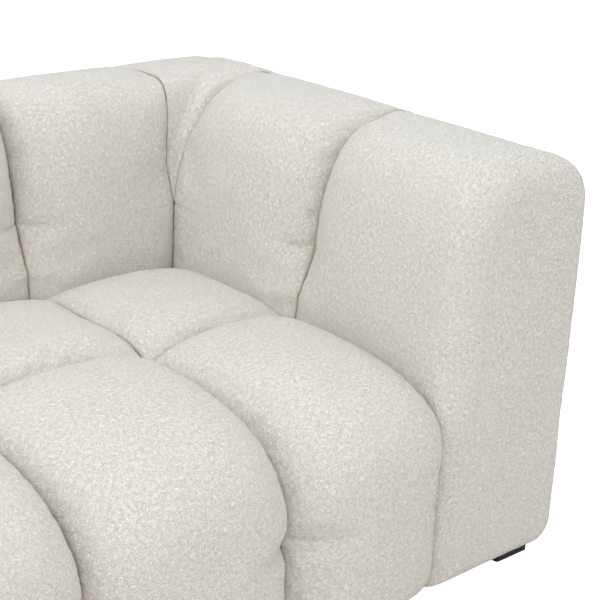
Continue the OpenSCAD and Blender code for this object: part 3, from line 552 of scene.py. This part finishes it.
def over_crown(thick, reach):
    """Crown profile over an arm or the back that is thick: up the inner face to a crest at the reach, and
    down to the outer edge."""
    return profile((0, deck_z), ("straight", (0, tuft_z), 1), ("up", (reach, crown_h), 3.4),
                   ("level", (thick, crown_h - top_fall), 2), ("straight", (thick, top_z), 1))


def seam_end(thick):
    """The end of every seam profile, from the crest down to the outer edge."""
    return (("straight", (thick * crest_share, crown_h - edge_in), 1),
            ("level", (thick, crown_h - top_fall - edge_seam_in), 2), ("straight", (thick, top_z), 1))


def over_seam(thick, bottom_in, deep, top_in, exponent):
    """Seam profile: bottom_in deep at the seat, deep at the tuft, far less deep below it, and top_in where it
    comes over the top, from where it rises to the crown's outer edge."""
    return profile((bottom_in, deck_z), ("straight", (deep * fold_share, tuft_z - fold_h), 1),
                   ("straight", (deep, tuft_z), 1),
                   ("up", (thick * climb_share, crown_h - top_in), exponent), *seam_end(thick))


def over_back(counts, thick):
    """Flat back of a channel, behind the foam's face up to the shoulder and under the top."""
    return hidden(counts, (0, pad_t, deck_z), (3, pad_t, shoulder_z), (4, deep_t, shoulder_z),
                  (5, deep_t, top_z), (13, thick - lip_t, top_z))


def channel_seam(thick, exponent):
    """Seam profile between two channels, creased at the seat and tufted halfway up."""
    return over_seam(thick, crease_in, tuft_in, top_seam_in, exponent)


def arm_corner_seam(thick):
    """Seam profile of an arm's rear channel beside the corner block, with no tuft."""
    return over_seam(thick, 0, 0, corner_seam_in, 2)


def back_corner_seam(thick):
    """Beside a corner block the back's channel stands up nearly straight, behind the block's beak."""
    return profile((0, deck_z), ("straight", (0, tuft_z), 1),
                   ("straight", (beak_seat_in, tuft_z + beak_up), 1),
                   ("up", (back_reach, crown_h - corner_seam_in), 5), *seam_end(thick))


def by_rows(path, counts, rows):
    """A profile at the given rows of the solid."""
    return np.stack([np.interp(rows, counted(counts), path[:, i]) for i in (0, 1)], 1)


arm_reach = 0.150
back_reach = 0.110
row_count = 13
all_rows = np.linspace(0, row_count, row_count * fine_n + 1)
middle = by_rows(channel_seam(back_t, 1.7), seam_counts, all_rows)
beside = by_rows(back_corner_seam(back_t), beak_counts, all_rows)
crown = by_rows(over_crown(back_t, back_reach), crown_counts, all_rows)
hold = by_rows(over_back(crown_counts, back_t), crown_counts, all_rows)
for i in range(1, columns + 1):
    node = f"back_channel_{i}"
    low, high = corners_of(node)
    stuffed(node, np.array([low[0], back_y, 0]), x_axis, y_axis, high[0] - low[0],
            beside if i == 1 else middle, crown, beside if i == columns else middle, hold,
            channel_fill, 200 + 10 * i, tuft_z)

# Rear channels of the arms, made like the back's and turned to face across the seat.
rear_low, rear_high = corners_of("arm_rear_right")
middle = by_rows(channel_seam(arm_w, 2), seam_counts, all_rows)
beside = by_rows(arm_corner_seam(arm_w), seam_counts, all_rows)
crown = by_rows(over_crown(arm_w, arm_reach), crown_counts, all_rows)
hold = by_rows(over_back(crown_counts, arm_w), crown_counts, all_rows)
for side, hand in ((1, "right"), (-1, "left")):
    node = "arm_rear_" + hand
    start = np.array([side * rear_low[0], rear_low[1], 0])
    stuffed(node, start, y_axis, side * x_axis, rear_high[1] - rear_low[1], middle, crown, beside, hold,
            channel_fill, 300 + side, tuft_z)

# Corner blocks. Each closes the corner between the back and an arm with a dome, and its beak runs down
# between their channels to the tuft.
beak_share = 0.3
corner_rise = 0.018
corner_drop = 0.016
rise_shares = (0, 0, 0, 0.2, 0.45, 0.7, 0.9, 1, 0.6, 0.3, 0.1, 0, 0, 0)
drop_shares = (0, 0, 0, 0, 0, 0, 0.3, 1, 0.75, 0.6, 0.3, 0, 0, 0)
corner_r = 0.040
leg_shares = (0, 0.3, 0.62, 1)
leg_n, bend_n = 3, 2
tip_row = 2
tip_trim = 0.05
climb_rows = 6
corner_cells = 72
corner_arc = 0.3


def corner_surface():
    """Seen surface of the right corner block, and u, the share of the way from the back's seam to the arm's.
    A row goes straight across low down, and higher up along two legs and a bend between them. It rises by
    its rise times sin(180 u) and sinks by its drop times (1 - |2u - 1|)^2."""
    inner = by_rows(back_corner_seam(back_t - gap), beak_counts, all_rows)
    outer = by_rows(arm_corner_seam(arm_w - gap), seam_counts, all_rows)
    inner, outer, rows = spaced((inner, outer, np.stack([all_rows, all_rows], 1)), cell_size / 2)
    keep = rows[:, 0] > tip_row + tip_trim
    inner, outer, row = inner[keep], outer[keep], rows[keep, 0]
    climb = np.minimum(1, (row - tip_row) / climb_rows)
    share = (beak_share + (1 - beak_share) * climb)[:, None]
    bend_r = (corner_r * climb)[:, None]
    rise = (corner_rise * np.interp(row, range(row_count + 1), rise_shares))[:, None]
    drop = (corner_drop * np.interp(row, range(row_count + 1), drop_shares))[:, None]
    u = np.linspace(0, 1, corner_cells + 1)
    i = (2 * leg_n + bend_n) * u
    angle = math.pi / 2 * np.clip((i - leg_n) / bend_n, 0, 1)
    legs = [np.interp(np.minimum(j, leg_n), range(leg_n + 1), leg_shares) for j in (i, i[::-1])]
    x = (outer[:, :1] - bend_r) * legs[0] + bend_r * np.sin(angle)
    y = (inner[:, :1] - bend_r) * legs[1] + bend_r * np.cos(angle)
    z = (inner[:, 1:] * (1 - u) + outer[:, 1:] * u + np.sin(math.pi * u) * rise
         - (1 - np.abs(2 * u - 1)) ** 2 * drop)
    straight_x = outer[:, :1] * u
    straight_y = inner[:, :1] * (1 - u)
    return np.stack([straight_x * (1 - share) + share * x, straight_y * (1 - share) + share * y, z], -1), u


def corner_faces(n, m):
    """Faces of a surface of n rows of m points, closed to a tip and a heart, the two points after them."""
    a = (np.arange(n - 1)[:, None] * m + np.arange(m - 1)).ravel()
    faces = np.stack([a, a + 1, a + 1 + m, a + m], 1).tolist()
    first, last = np.arange(m), (n - 1) * m + np.arange(m)
    left, right = np.arange(n) * m, np.arange(n) * m + m - 1
    tip_i, heart_i = n * m, n * m + 1
    faces += [[tip_i, first[j + 1], first[j]] for j in range(m - 1)]
    faces += [[heart_i, last[j], last[j + 1]] for j in range(m - 1)]
    faces += [[heart_i, left[j], left[j + 1]] for j in range(n - 1)]
    faces += [[heart_i, right[j + 1], right[j]] for j in range(n - 1)]
    return faces + [[heart_i, tip_i, first[0]], [heart_i, first[-1], tip_i]]


surface, u = corner_surface()
beside = np.broadcast_to(np.minimum(u, 1 - u), surface.shape[:2])
base = np.array([arm_low[0] + gap, back_y + gap, 0])
for side, hand in ((1, "right"), (-1, "left")):
    node = "corner_" + hand
    tip = (base + [0, 0, tuft_z]) * [side, 1, 1]
    heart = (base + [pad_t, pad_t, top_z]) * [side, 1, 1]
    pucker = np.exp(-beside * corner_arc / gather_reach)
    grid = lively((base + surface) * [side, 1, 1], heart, pucker, 400 + side)
    points = np.concatenate([grid.reshape(-1, 3), [tip, heart]])
    piece = mesh_piece("cover_" + node, points, corner_faces(*beside.shape), channel_fill)
    # Painted seam shade beside the corner block's seams.
    paint_seam_shade(piece, np.append(beside * (arm_w + back_t), [0, 0]))
    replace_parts(piece, node)

# Arm front blocks. One cover goes over an arm's inner face, its top and its front, with broad round
# edges. The front face is a single plain panel, and the block is open behind its pads for the frame.
inner_edge_r = 0.062
top_edge_r = 0.060
outer_edge_r = 0.032
hem_edge_r = 0.030
hem_r = 0.040
face_crown = 0.005
edge_rows = (0, 1, 2, 4, 10, 14, 15, 16)
edge_radii = (hem_edge_r, hem_edge_r, inner_edge_r, inner_edge_r, top_edge_r, outer_edge_r, outer_edge_r,
              hem_edge_r)
bottom_n, hem_n, outside_n, under_n = 60, 12, 90, 38
round_n, face_n = 22, 44
face_tip_share = 0.02
front_pad_t = 0.034
front_fill = 0.8
past_l = 0.1
weld_l = 0.0001


def arm_rings():
    """Rings round an arm, of distance across from the inner face and height, with y for each ring: from
    the rear seam, where they follow the seam profile, to full, then round the front edges, where a ring
    turned by an angle t is drawn in by the edge radius times 1 - cos(t), and over the front face, which
    falls back by face_crown times s^2.5 at the share s of the way from its middle. The edge radius runs
    through edge_radii at the solid's rows edge_rows."""
    seam = by_rows(channel_seam(arm_w, 2), seam_counts, all_rows)
    crown = by_rows(over_crown(arm_w, arm_reach), crown_counts, all_rows)
    crown, seam, rows = spaced((crown, seam, np.stack([all_rows, all_rows], 1)), cell_size / 2)
    bottom = np.stack([np.zeros(bottom_n), np.linspace(skirt_z, deck_z, bottom_n + 1)[:-1]], 1)
    t = np.linspace(0, math.pi / 2, hem_n + 1)[1:]
    outside = np.stack([np.full(outside_n, arm_w),
                        np.linspace(top_z, skirt_z + hem_r, outside_n + 1)[1:]], 1)
    tail = np.stack([arm_w - hem_r * (1 - np.cos(t)), skirt_z + hem_r - hem_r * np.sin(t)], 1)
    under = np.stack([np.linspace(arm_w - hem_r, 0, under_n + 2)[1:-1], np.full(under_n, skirt_z)], 1)
    lead = np.concatenate([bottom, crown, outside, tail, under])
    deep = np.concatenate([bottom, seam, outside, tail, under])
    index = np.concatenate([np.linspace(0, 1, bottom_n + 1)[:-1], rows[:, 0] + 1,
                            np.full(outside_n, edge_rows[-2]), np.linspace(*edge_rows[-2:], hem_n),
                            np.full(under_n, edge_rows[-1])])
    radius = np.interp(index, edge_rows, edge_radii)
    depth = arm_high[1] - front_y
    rings = []
    for u in np.linspace(0, 0.5, int(depth / cell_size)):
        ring = deep + swell(u, depth) * (lead - deep)
        rings.append(np.stack([ring[:, 0], np.full(len(ring), depth * (1 - u)), ring[:, 1]], 1))
    steps = int((depth / 2 - radius.max()) / (cell_size / 2))
    start = rings[-1]
    edge = np.stack([lead[:, 0], face_crown + radius, lead[:, 1]], 1)
    rings += [start + (edge - start) * k / steps for k in range(1, steps)]
    inward = inner_edge_r * (1 - lead[:, 0] / arm_w) - outer_edge_r * lead[:, 0] / arm_w
    upward = hem_edge_r * (crown_h - lead[:, 1]) - top_edge_r * (lead[:, 1] - skirt_z)
    for turned in np.linspace(0, math.pi / 2, round_n):
        drawn = 1 - math.cos(turned)
        rings.append(np.stack([lead[:, 0] + drawn * inward,
                               face_crown + radius * (1 - math.sin(turned)),
                               lead[:, 1] + drawn * upward / (crown_h - skirt_z)], 1))
    rim = rings[-1]
    middle = np.array([arm_w / 2, 0, (crown_h + skirt_z) / 2])
    for share in np.linspace(1, face_tip_share, face_n)[1:]:
        ring = middle + (rim - middle) * share
        ring[:, 1] = face_crown * share ** 2.5
        rings.append(ring)
    return np.array(rings)


def cut_box(piece, low, high):
    """Cuts a box out of a piece, from its corner low to its corner high."""
    bpy.ops.mesh.primitive_cube_add(size=1, location=(low + high) / 2, scale=high - low)
    cutter = bpy.context.object
    cut = piece.modifiers.new("cut", "BOOLEAN")
    cut.object = cutter
    cut.solver = "EXACT"
    bpy.context.view_layer.objects.active = piece
    bpy.ops.object.modifier_apply(modifier=cut.name)
    bpy.data.objects.remove(cutter)


def weld(piece):
    """Merges the points of a piece that lie within weld_l, so that the edges of its cuts are closed."""
    mesh = bmesh.new()
    mesh.from_mesh(piece.data)
    bmesh.ops.remove_doubles(mesh, verts=mesh.verts, dist=weld_l)
    bmesh.ops.dissolve_degenerate(mesh, edges=mesh.edges, dist=weld_l)
    mesh.to_mesh(piece.data)
    mesh.free()


arm = np.array([arm_low[0], front_y, 0]) + arm_rings()
for side, hand in ((1, "right"), (-1, "left")):
    node = "arm_front_" + hand
    rings = arm * [side, 1, 1]
    pucker = np.exp(-(arm_high[1] - rings[..., 1]).clip(0) / gather_reach)
    rings = lively(rings, rings.mean((0, 1)), pucker, 500 + side)
    piece = mesh_piece("cover_" + node, *closed_rings(rings), front_fill)
    for inner_t, roof_z in ((deep_t, top_z), (pad_t, shoulder_z), (-past_l, deck_z)):
        low = np.array([arm_low[0] + inner_t, front_y + front_pad_t, -past_l])
        high = np.array([arm_high[0] + past_l, arm_high[1] + past_l, roof_z])
        cut_box(piece, *np.sort([low * [side, 1, 1], high * [side, 1, 1]], axis=0))
    weld(piece)
    places = np.empty(3 * len(piece.data.vertices))
    piece.data.vertices.foreach_get("co", places)
    # Painted seam shade beside the rear seam.
    paint_seam_shade(piece, arm_high[1] - places[1::3])
    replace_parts(piece, node)

# Outside covers. Boucle over thin wadding closes the sides and the rear: it turns round the rear corners
# to a seam on the back, and is drawn under at the bottom.
cover_t = 0.004
hem_reach = 0.0347
return_l = 0.020
wadding_fill = 0.9
hem_cells, wall_cells = 13, 69
side_n, turn_n, return_n, back_n = 100, 12, 4, 240
cover_lump_h = 0.0008
cover_lump_size = 0.12
cover_gather_h = 0.0003
cover_gather_size = 0.02
outer_low, outer_high = corners_of("outer_side_right")
back_face_low, back_face_high = corners_of("outer_back")
rear_y = outer_high[1]
half_w = outer_high[0]


def cover_section():
    """Closed outline of a cover, of distance out from the line about which it turns and height: up its
    outside from under the hem, a quarter round of radius hem_r, and down its inside."""
    under = math.acos(1 - hem_reach / hem_r)
    turn = np.linspace(under, 0, hem_cells + 1)
    wall = np.linspace(skirt_z + hem_r, top_z - gap, wall_cells + 1)
    outside = np.concatenate([np.stack([hem_r * np.cos(turn), skirt_z + hem_r - hem_r * np.sin(turn)], 1),
                              np.stack([np.full(wall_cells, hem_r), wall[1:]], 1)])
    thin = hem_r - cover_t
    under = math.acos(max(0, (hem_r - hem_reach) / thin))
    turn = np.linspace(0, under, hem_cells + 1)
    inside = np.concatenate([np.stack([np.full(wall_cells, thin), wall[:0:-1]], 1),
                             np.stack([thin * np.cos(turn), skirt_z + hem_r - thin * np.sin(turn)], 1)])
    return np.concatenate([outside, inside]), len(outside)


def cover(name, middle, out, seed):
    """A cover along a path: for each station, middle + distance*out + height, slightly uneven outside."""
    section, shown = cover_section()
    rings = (middle[:, None] + section[:, :1] * out[:, None] + section[:, 1:] * z_axis)
    face = rings[:, :shown]
    lift = np.zeros(rings.shape[:2])
    lift[:, :shown] = (cover_lump_h * wobble(face, cover_lump_size, seed)
                       + cover_gather_h * wobble(face, cover_gather_size, seed + 1))
    rings = rings + out[:, None] * lift[..., None]
    return mesh_piece(name, *closed_rings(rings), wadding_fill)


def side_path():
    """Stations of the right side cover and the way out at each: along the side, a quarter round of radius
    hem_r at the rear corner, and its return on the back."""
    along = np.linspace(outer_low[1], rear_y - hem_r, side_n)
    bend = np.linspace(0, math.pi / 2, turn_n + 1)[1:]
    back = np.linspace(0, return_l, return_n + 1)[1:]
    middle = np.concatenate([np.stack([np.full(side_n, half_w - hem_r), along, np.zeros(side_n)], 1),
                             np.tile([half_w - hem_r, rear_y - hem_r, 0], (turn_n, 1)),
                             np.stack([half_w - hem_r - back, np.full(return_n, rear_y - hem_r),
                                       np.zeros(return_n)], 1)])
    out = np.concatenate([np.tile(x_axis, (side_n, 1)),
                          np.stack([np.cos(bend), np.sin(bend), np.zeros(turn_n)], 1),
                          np.tile(y_axis, (return_n, 1))])
    return middle, out


middle, out = side_path()
for side, hand in ((1, "right"), (-1, "left")):
    flip = np.array([side, 1, 1])
    piece = cover("cover_outer_side_" + hand, middle * flip, out * flip, 600 + side)
    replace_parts(piece, "outer_side_" + hand)
line = np.linspace(back_face_low[0], back_face_high[0], back_n)
middle = np.stack([line, np.full(back_n, rear_y - hem_r), np.zeros(back_n)], 1)
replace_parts(cover("cover_outer_back", middle, np.tile(y_axis, (back_n, 1)), 610), "outer_back")

# Dust cover. Thin black bonded cloth is stapled under the frame, cut out round the feet, and sags a little
# between the rails.
dust_low, dust_high = corners_of("dust_cover")
foot_low, foot_high = corners_of("feet")
foot_side = 0.080
dust_sag = 0.003
sag_span = 0.6
dust_cells = (169, 69)
rail_t = 0.022


def dust_sheet():
    """A grid of cells, without those of the feet and of the steps beside the front rail. It sags by dust_sag
    times |sin(180 x/sag_span)| sin(180 v), with v the share of the way from the front rail to the rear."""
    hole = foot_side + 2 * gap
    edge_xs = [x + half for x in (foot_xs[0], 0, foot_xs[1]) for half in (-hole / 2, hole / 2)]
    edge_ys = [y + half for y in foot_ys for half in (-hole / 2, hole / 2)]
    xs, ys = (np.unique(np.round(np.concatenate([np.linspace(low, high, cells + 1), edges]), 5))
              for low, high, cells, edges in
              ((dust_low[0], dust_high[0], dust_cells[0], edge_xs + [-seat_half, seat_half]),
               (dust_low[1], dust_high[1], dust_cells[1], edge_ys + [front_edge])))
    mid_x, mid_y = np.meshgrid((xs[1:] + xs[:-1]) / 2, (ys[1:] + ys[:-1]) / 2, indexing="ij")
    kept = (np.abs(mid_x) > seat_half) | (mid_y > front_edge)
    for x, y in foot_places:
        kept &= (np.abs(mid_x - x) > hole / 2) | (np.abs(mid_y - y) > hole / 2)
    x, y = np.meshgrid(xs, ys, indexing="ij")
    v = ((y - front_edge) / (dust_high[1] - front_edge)).clip(0, 1)
    sag = dust_sag * np.abs(np.sin(math.pi * x / sag_span)) * np.sin(math.pi * v)
    low = np.stack([x, y, dust_low[2] - sag], -1).reshape(-1, 3)
    high = low + [0, 0, dust_high[2] - dust_low[2]]
    n, m = len(xs), len(ys)
    i, j = np.nonzero(kept)
    a = i * m + j
    quads = np.stack([a, a + 1, a + m + 1, a + m], 1)
    walls = []
    wide = np.pad(kept, 1)
    for step, first, second in (((-1, 0), 0, 1), ((0, 1), 1, 2), ((1, 0), 2, 3), ((0, -1), 3, 0)):
        open_side = ~wide[i + 1 + step[0], j + 1 + step[1]]
        walls.append(np.stack([quads[open_side, second], quads[open_side, first],
                               quads[open_side, first] + n * m, quads[open_side, second] + n * m], 1))
    faces = np.concatenate([quads, quads[:, ::-1] + n * m, *walls])
    used, faces = np.unique(faces, return_inverse=True)
    return np.concatenate([low, high])[used], faces.reshape(-1, 4).tolist()


seat_half = corners_of("seat_front_5")[1][0] + 1.5 * gap
front_edge = corners_of("front_rail")[0][1]
foot_xs = (foot_low[0] + foot_side / 2, foot_high[0] - foot_side / 2)
foot_ys = (foot_low[1] + foot_side / 2, front_edge + rail_t + foot_side / 2, foot_high[1] - foot_side / 2)
foot_places = [(x, y) for x in foot_xs for y in (foot_ys[0], foot_ys[2])] + [(0, foot_ys[1]), (0, foot_ys[2])]

dust_black, dust_grey = (0.012, 0.012, 0.013), (0.05, 0.05, 0.052)
bond_size = 0.002
dust_cloth, place, shader = material("dust_cloth", Specular_IOR_Level=0.2)
bonds = place.cells(bond_size)
fibres = place.noise(bond_size, 3.0)
tone = (bonds * 0.5 + fibres * 0.6).step(0.2, 0.9)
height = bonds + fibres * 0.5
finish(place, shader, tone.shade(dust_black, dust_grey), 0.95 - fibres * 0.15, height, depth=0.0003)
dust_cover = mesh_piece("sheet_dust_cover", *dust_sheet(), cloth=dust_cloth)
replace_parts(dust_cover, "dust_cover")


# Frame. Sawn timber rails and plywood posts, skins and boards are screwed together. They keep the solids'
# own shapes, as do all the pieces that the covers hide, and show their grain along each piece.
def dress(made, *nodes):
    """Gives nodes that keep their own shapes a material, in their one slot."""
    for node in nodes:
        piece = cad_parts[node]
        piece.data.materials.clear()
        piece.data.materials.append(made)


def wood(name, along, light, dark, ring, rough):
    """Growth rings are noise drawn out along the grain, and pores are finer noise drawn out further."""
    made, place, shader = material(name)
    squeeze, fine = ([1.0 if axis == along else squash for axis in "xyz"]
                     for squash in (ring_squeeze, pore_squeeze))
    rings = (place.stretched(squeeze).noise(ring) * rings_across).fraction()
    pores = place.stretched(fine).noise(pore_size, 3.0)
    tone = rings.ridge() * 0.5 + pores * 0.5
    finish(place, shader, tone.step(0.15, 0.85).shade(dark, light), rough - pores * 0.15, tone, grain_depth)
    return made


timber_light, timber_dark = (0.66, 0.47, 0.27), (0.5, 0.31, 0.15)
plywood_light, plywood_dark = (0.68, 0.52, 0.33), (0.56, 0.4, 0.23)
timber_ring, plywood_ring = 0.5, 0.8
ring_squeeze, pore_squeeze = 9.0, 30.0
rings_across = 6
pore_size = 0.08
grain_depth = 0.0004
timbers = {way: wood("timber" + tail, way, timber_light, timber_dark, timber_ring, 0.75)
           for way, tail in (("x", ""), ("y", ".001"))}
plies = {way: wood("plywood" + tail, way, plywood_light, plywood_dark, plywood_ring, 0.65)
         for way, tail in (("x", ""), ("y", ".001"), ("z", ".002"))}
dress(timbers["x"], "front_rail", "rear_spring_rail", "rear_low_rail", "back_front_rail", "back_tack_rail",
      "foot_blocks")
dress(timbers["y"], "arm_low_rails", "seat_stretchers")
dress(plies["x"], "back_top_board")
dress(plies["y"], "arm_skins", "arm_top_boards")
dress(plies["z"], "arm_front_posts", "arm_inner_posts", "back_posts")

# Hardboard. Thin boards of pressed brown fibre are stapled to the frame behind the outside covers, and
# show their short chips.
board_dark, board_light = (0.1, 0.05, 0.025), (0.2, 0.115, 0.06)
chip_size = 0.0012
stain_size = 0.03
hardboard, place, shader = material("hardboard")
chips = place.noise(chip_size, 3.0)
tone = (chips + place.noise(stain_size) * 0.4).step(0.4, 1.0)
finish(place, shader, tone.shade(board_dark, board_light), 0.7 - chips * 0.2, chips, depth=0.0002)
dress(hardboard, "side_boards", "back_board")

# Springs and fittings. Zigzag springs in clips, bolts, T-nuts, screws and the ties' washers are of drawn or
# pressed steel, bright and lightly scuffed.
steel_dark, steel_light = (0.34, 0.34, 0.35), (0.6, 0.6, 0.62)
scuff_size = 0.004
steel, place, shader = material("steel", Metallic=1.0)
scuffs = place.noise(scuff_size, 4.0)
finish(place, shader, scuffs.shade(steel_dark, steel_light), 0.25 + scuffs * 0.35, scuffs, depth=0.00005)
dress(steel, "seat_springs", "spring_clips", "foot_bolts", "t_nuts", "block_screws", "tie_washers")

# Foam. Cut slabs of yellow polyurethane foam, with open cells, carry the seat's blocks and lie behind the
# channels of the back and the arms.
foam_dark, foam_light = (0.66, 0.58, 0.36), (0.84, 0.78, 0.58)
foam_cell = 1 / 600
cloud_size = 0.05
foam, place, shader = material("foam", Specular_IOR_Level=0.1)
cells = place.cells(foam_cell)
tone = (cells * 0.7 + place.noise(cloud_size) * 0.4).step(0.1, 0.9)
finish(place, shader, tone.shade(foam_dark, foam_light), 0.98 - cells * 0.1, cells, depth=0.0008)
dress(foam, "seat_foam", "back_foam", "arm_foams")

# Felt. A pad of grey waste felt lies on the springs and keeps them out of the foam. Its fibres are matted,
# with flecks of other greys.
felt_dark, felt_light = (0.1, 0.1, 0.11), (0.3, 0.3, 0.32)
fluff_size = 0.0015
fleck_size = 1 / 120
felt, place, shader = material("felt", Specular_IOR_Level=0.1)
fluff = place.noise(fluff_size, 4.0)
flecks = place.cells(fleck_size, "Color")
tone = (fluff * 0.7 + flecks * 0.4).step(0.3, 0.9)
finish(place, shader, tone.shade(felt_dark, felt_light), 0.98 - fluff * 0.1, fluff, depth=0.001)
dress(felt, "spring_insulator")

# Webbing. Black elastic straps, woven and stretched across the back's frame, hold its foam. Their threads
# cross at a pitch of a few millimetres.
web_black, web_grey = (0.01, 0.01, 0.011), (0.06, 0.06, 0.065)
thread_across, thread_up = 0.003, 0.002
webbing, place, shader = material("webbing", Specular_IOR_Level=0.3)
across, upward = (place.node("ShaderNodeSeparateXYZ", {}, {"Vector": place}, axis) for axis in (0, 2))
threads = across.wave(thread_across) * upward.wave(thread_up)
tone = threads * 0.5 + 0.5
finish(place, shader, tone.shade(web_black, web_grey), 0.8 - threads * 0.1, threads, depth=0.0004)
dress(webbing, "back_webbing")

# Tuft ties. Twisted twine, in its natural colour, runs from the tufts through the foam to steel washers
# and pulls the covers in.
twine_dark, twine_light = (0.5, 0.44, 0.34), (0.8, 0.76, 0.66)
strand_size = 0.0012
strand_stretch = (1.0, 1.0, 0.4)
twine, place, shader = material("twine", Specular_IOR_Level=0.3)
strands = place.stretched(strand_stretch).noise(strand_size)
finish(place, shader, strands.shade(twine_dark, twine_light), 0.8 - strands * 0.2, strands, depth=0.0004)
dress(twine, "tuft_ties")

# Feet. Plain black blocks with rounded corners and a satin finish, scuffed a little at their edges.
foot_black, foot_grey = (0.008, 0.008, 0.009), (0.022, 0.022, 0.024)
mottle_size = 0.006
foot, place, shader = material("foot", Specular_IOR_Level=0.5)
mottle = place.noise(mottle_size, 3.0)
tone = (mottle + place.noise(stain_size) * 0.5).step(0.5, 1.1)
finish(place, shader, tone.shade(foot_black, foot_grey), 0.32 + mottle * 0.25, mottle, depth=0.00008)
dress(foot, "feet")

# Studio. A plain pale floor, white to the camera, under three wide soft lights, from above, from the front
# and from the left, and a white surround.
bpy.ops.mesh.primitive_plane_add(size=30)
floor = bpy.context.object
floor.name = "floor"
floor_grey = (0.76, 0.74, 0.71, 1)
white = (1, 1, 1, 1)
paper, place, shader = material("floor_paper", Roughness=0.9)
shader.inputs["Base Color"].default_value = floor_grey
shader.inputs["Emission Color"].default_value = white
seen = place.node("ShaderNodeLightPath", {}, {}, "Is Camera Ray")
place.tree.links.new(seen.socket, shader.inputs["Emission Strength"])
floor.data.materials.append(paper)


def softbox(name, place, aim, size, power, colour):
    """A square area light at a place, turned to its aim."""
    lamp = bpy.data.lights.new(name, "AREA")
    lamp.size = size
    lamp.energy = power
    lamp.color = colour
    box = bpy.data.objects.new(name, lamp)
    box.location = place
    box.rotation_euler = (Vector(aim) - Vector(place)).to_track_quat("-Z", "Y").to_euler()
    bpy.context.scene.collection.objects.link(box)


softbox("light_above", (0.2, -0.3, 3.6), aim=(0.4, 0, 0.4), size=3.5, power=20, colour=(0.93, 1.0, 1.06))
softbox("light_front", (-1.4, -3.0, 3.1), aim=(0.6, 0, 0.4), size=2.5, power=40, colour=(1.0, 0.94, 0.89))
softbox("light_side", (-2.3, 0.1, 2.8), aim=(0.9, 0, 0.5), size=2.0, power=23, colour=(1.0, 0.98, 0.95))
surround = 0.80
world = bpy.data.worlds.new("surround")
world.use_nodes = True
backdrop = world.node_tree.nodes["Background"]
backdrop.inputs["Color"].default_value = white
seen = Wire(world.node_tree).node("ShaderNodeLightPath", {}, {}, "Is Camera Ray")
world.node_tree.links.new((seen * (1 - surround) + surround).socket, backdrop.inputs["Strength"])
bpy.context.scene.world = world
bpy.context.scene.view_settings.view_transform = "Standard"
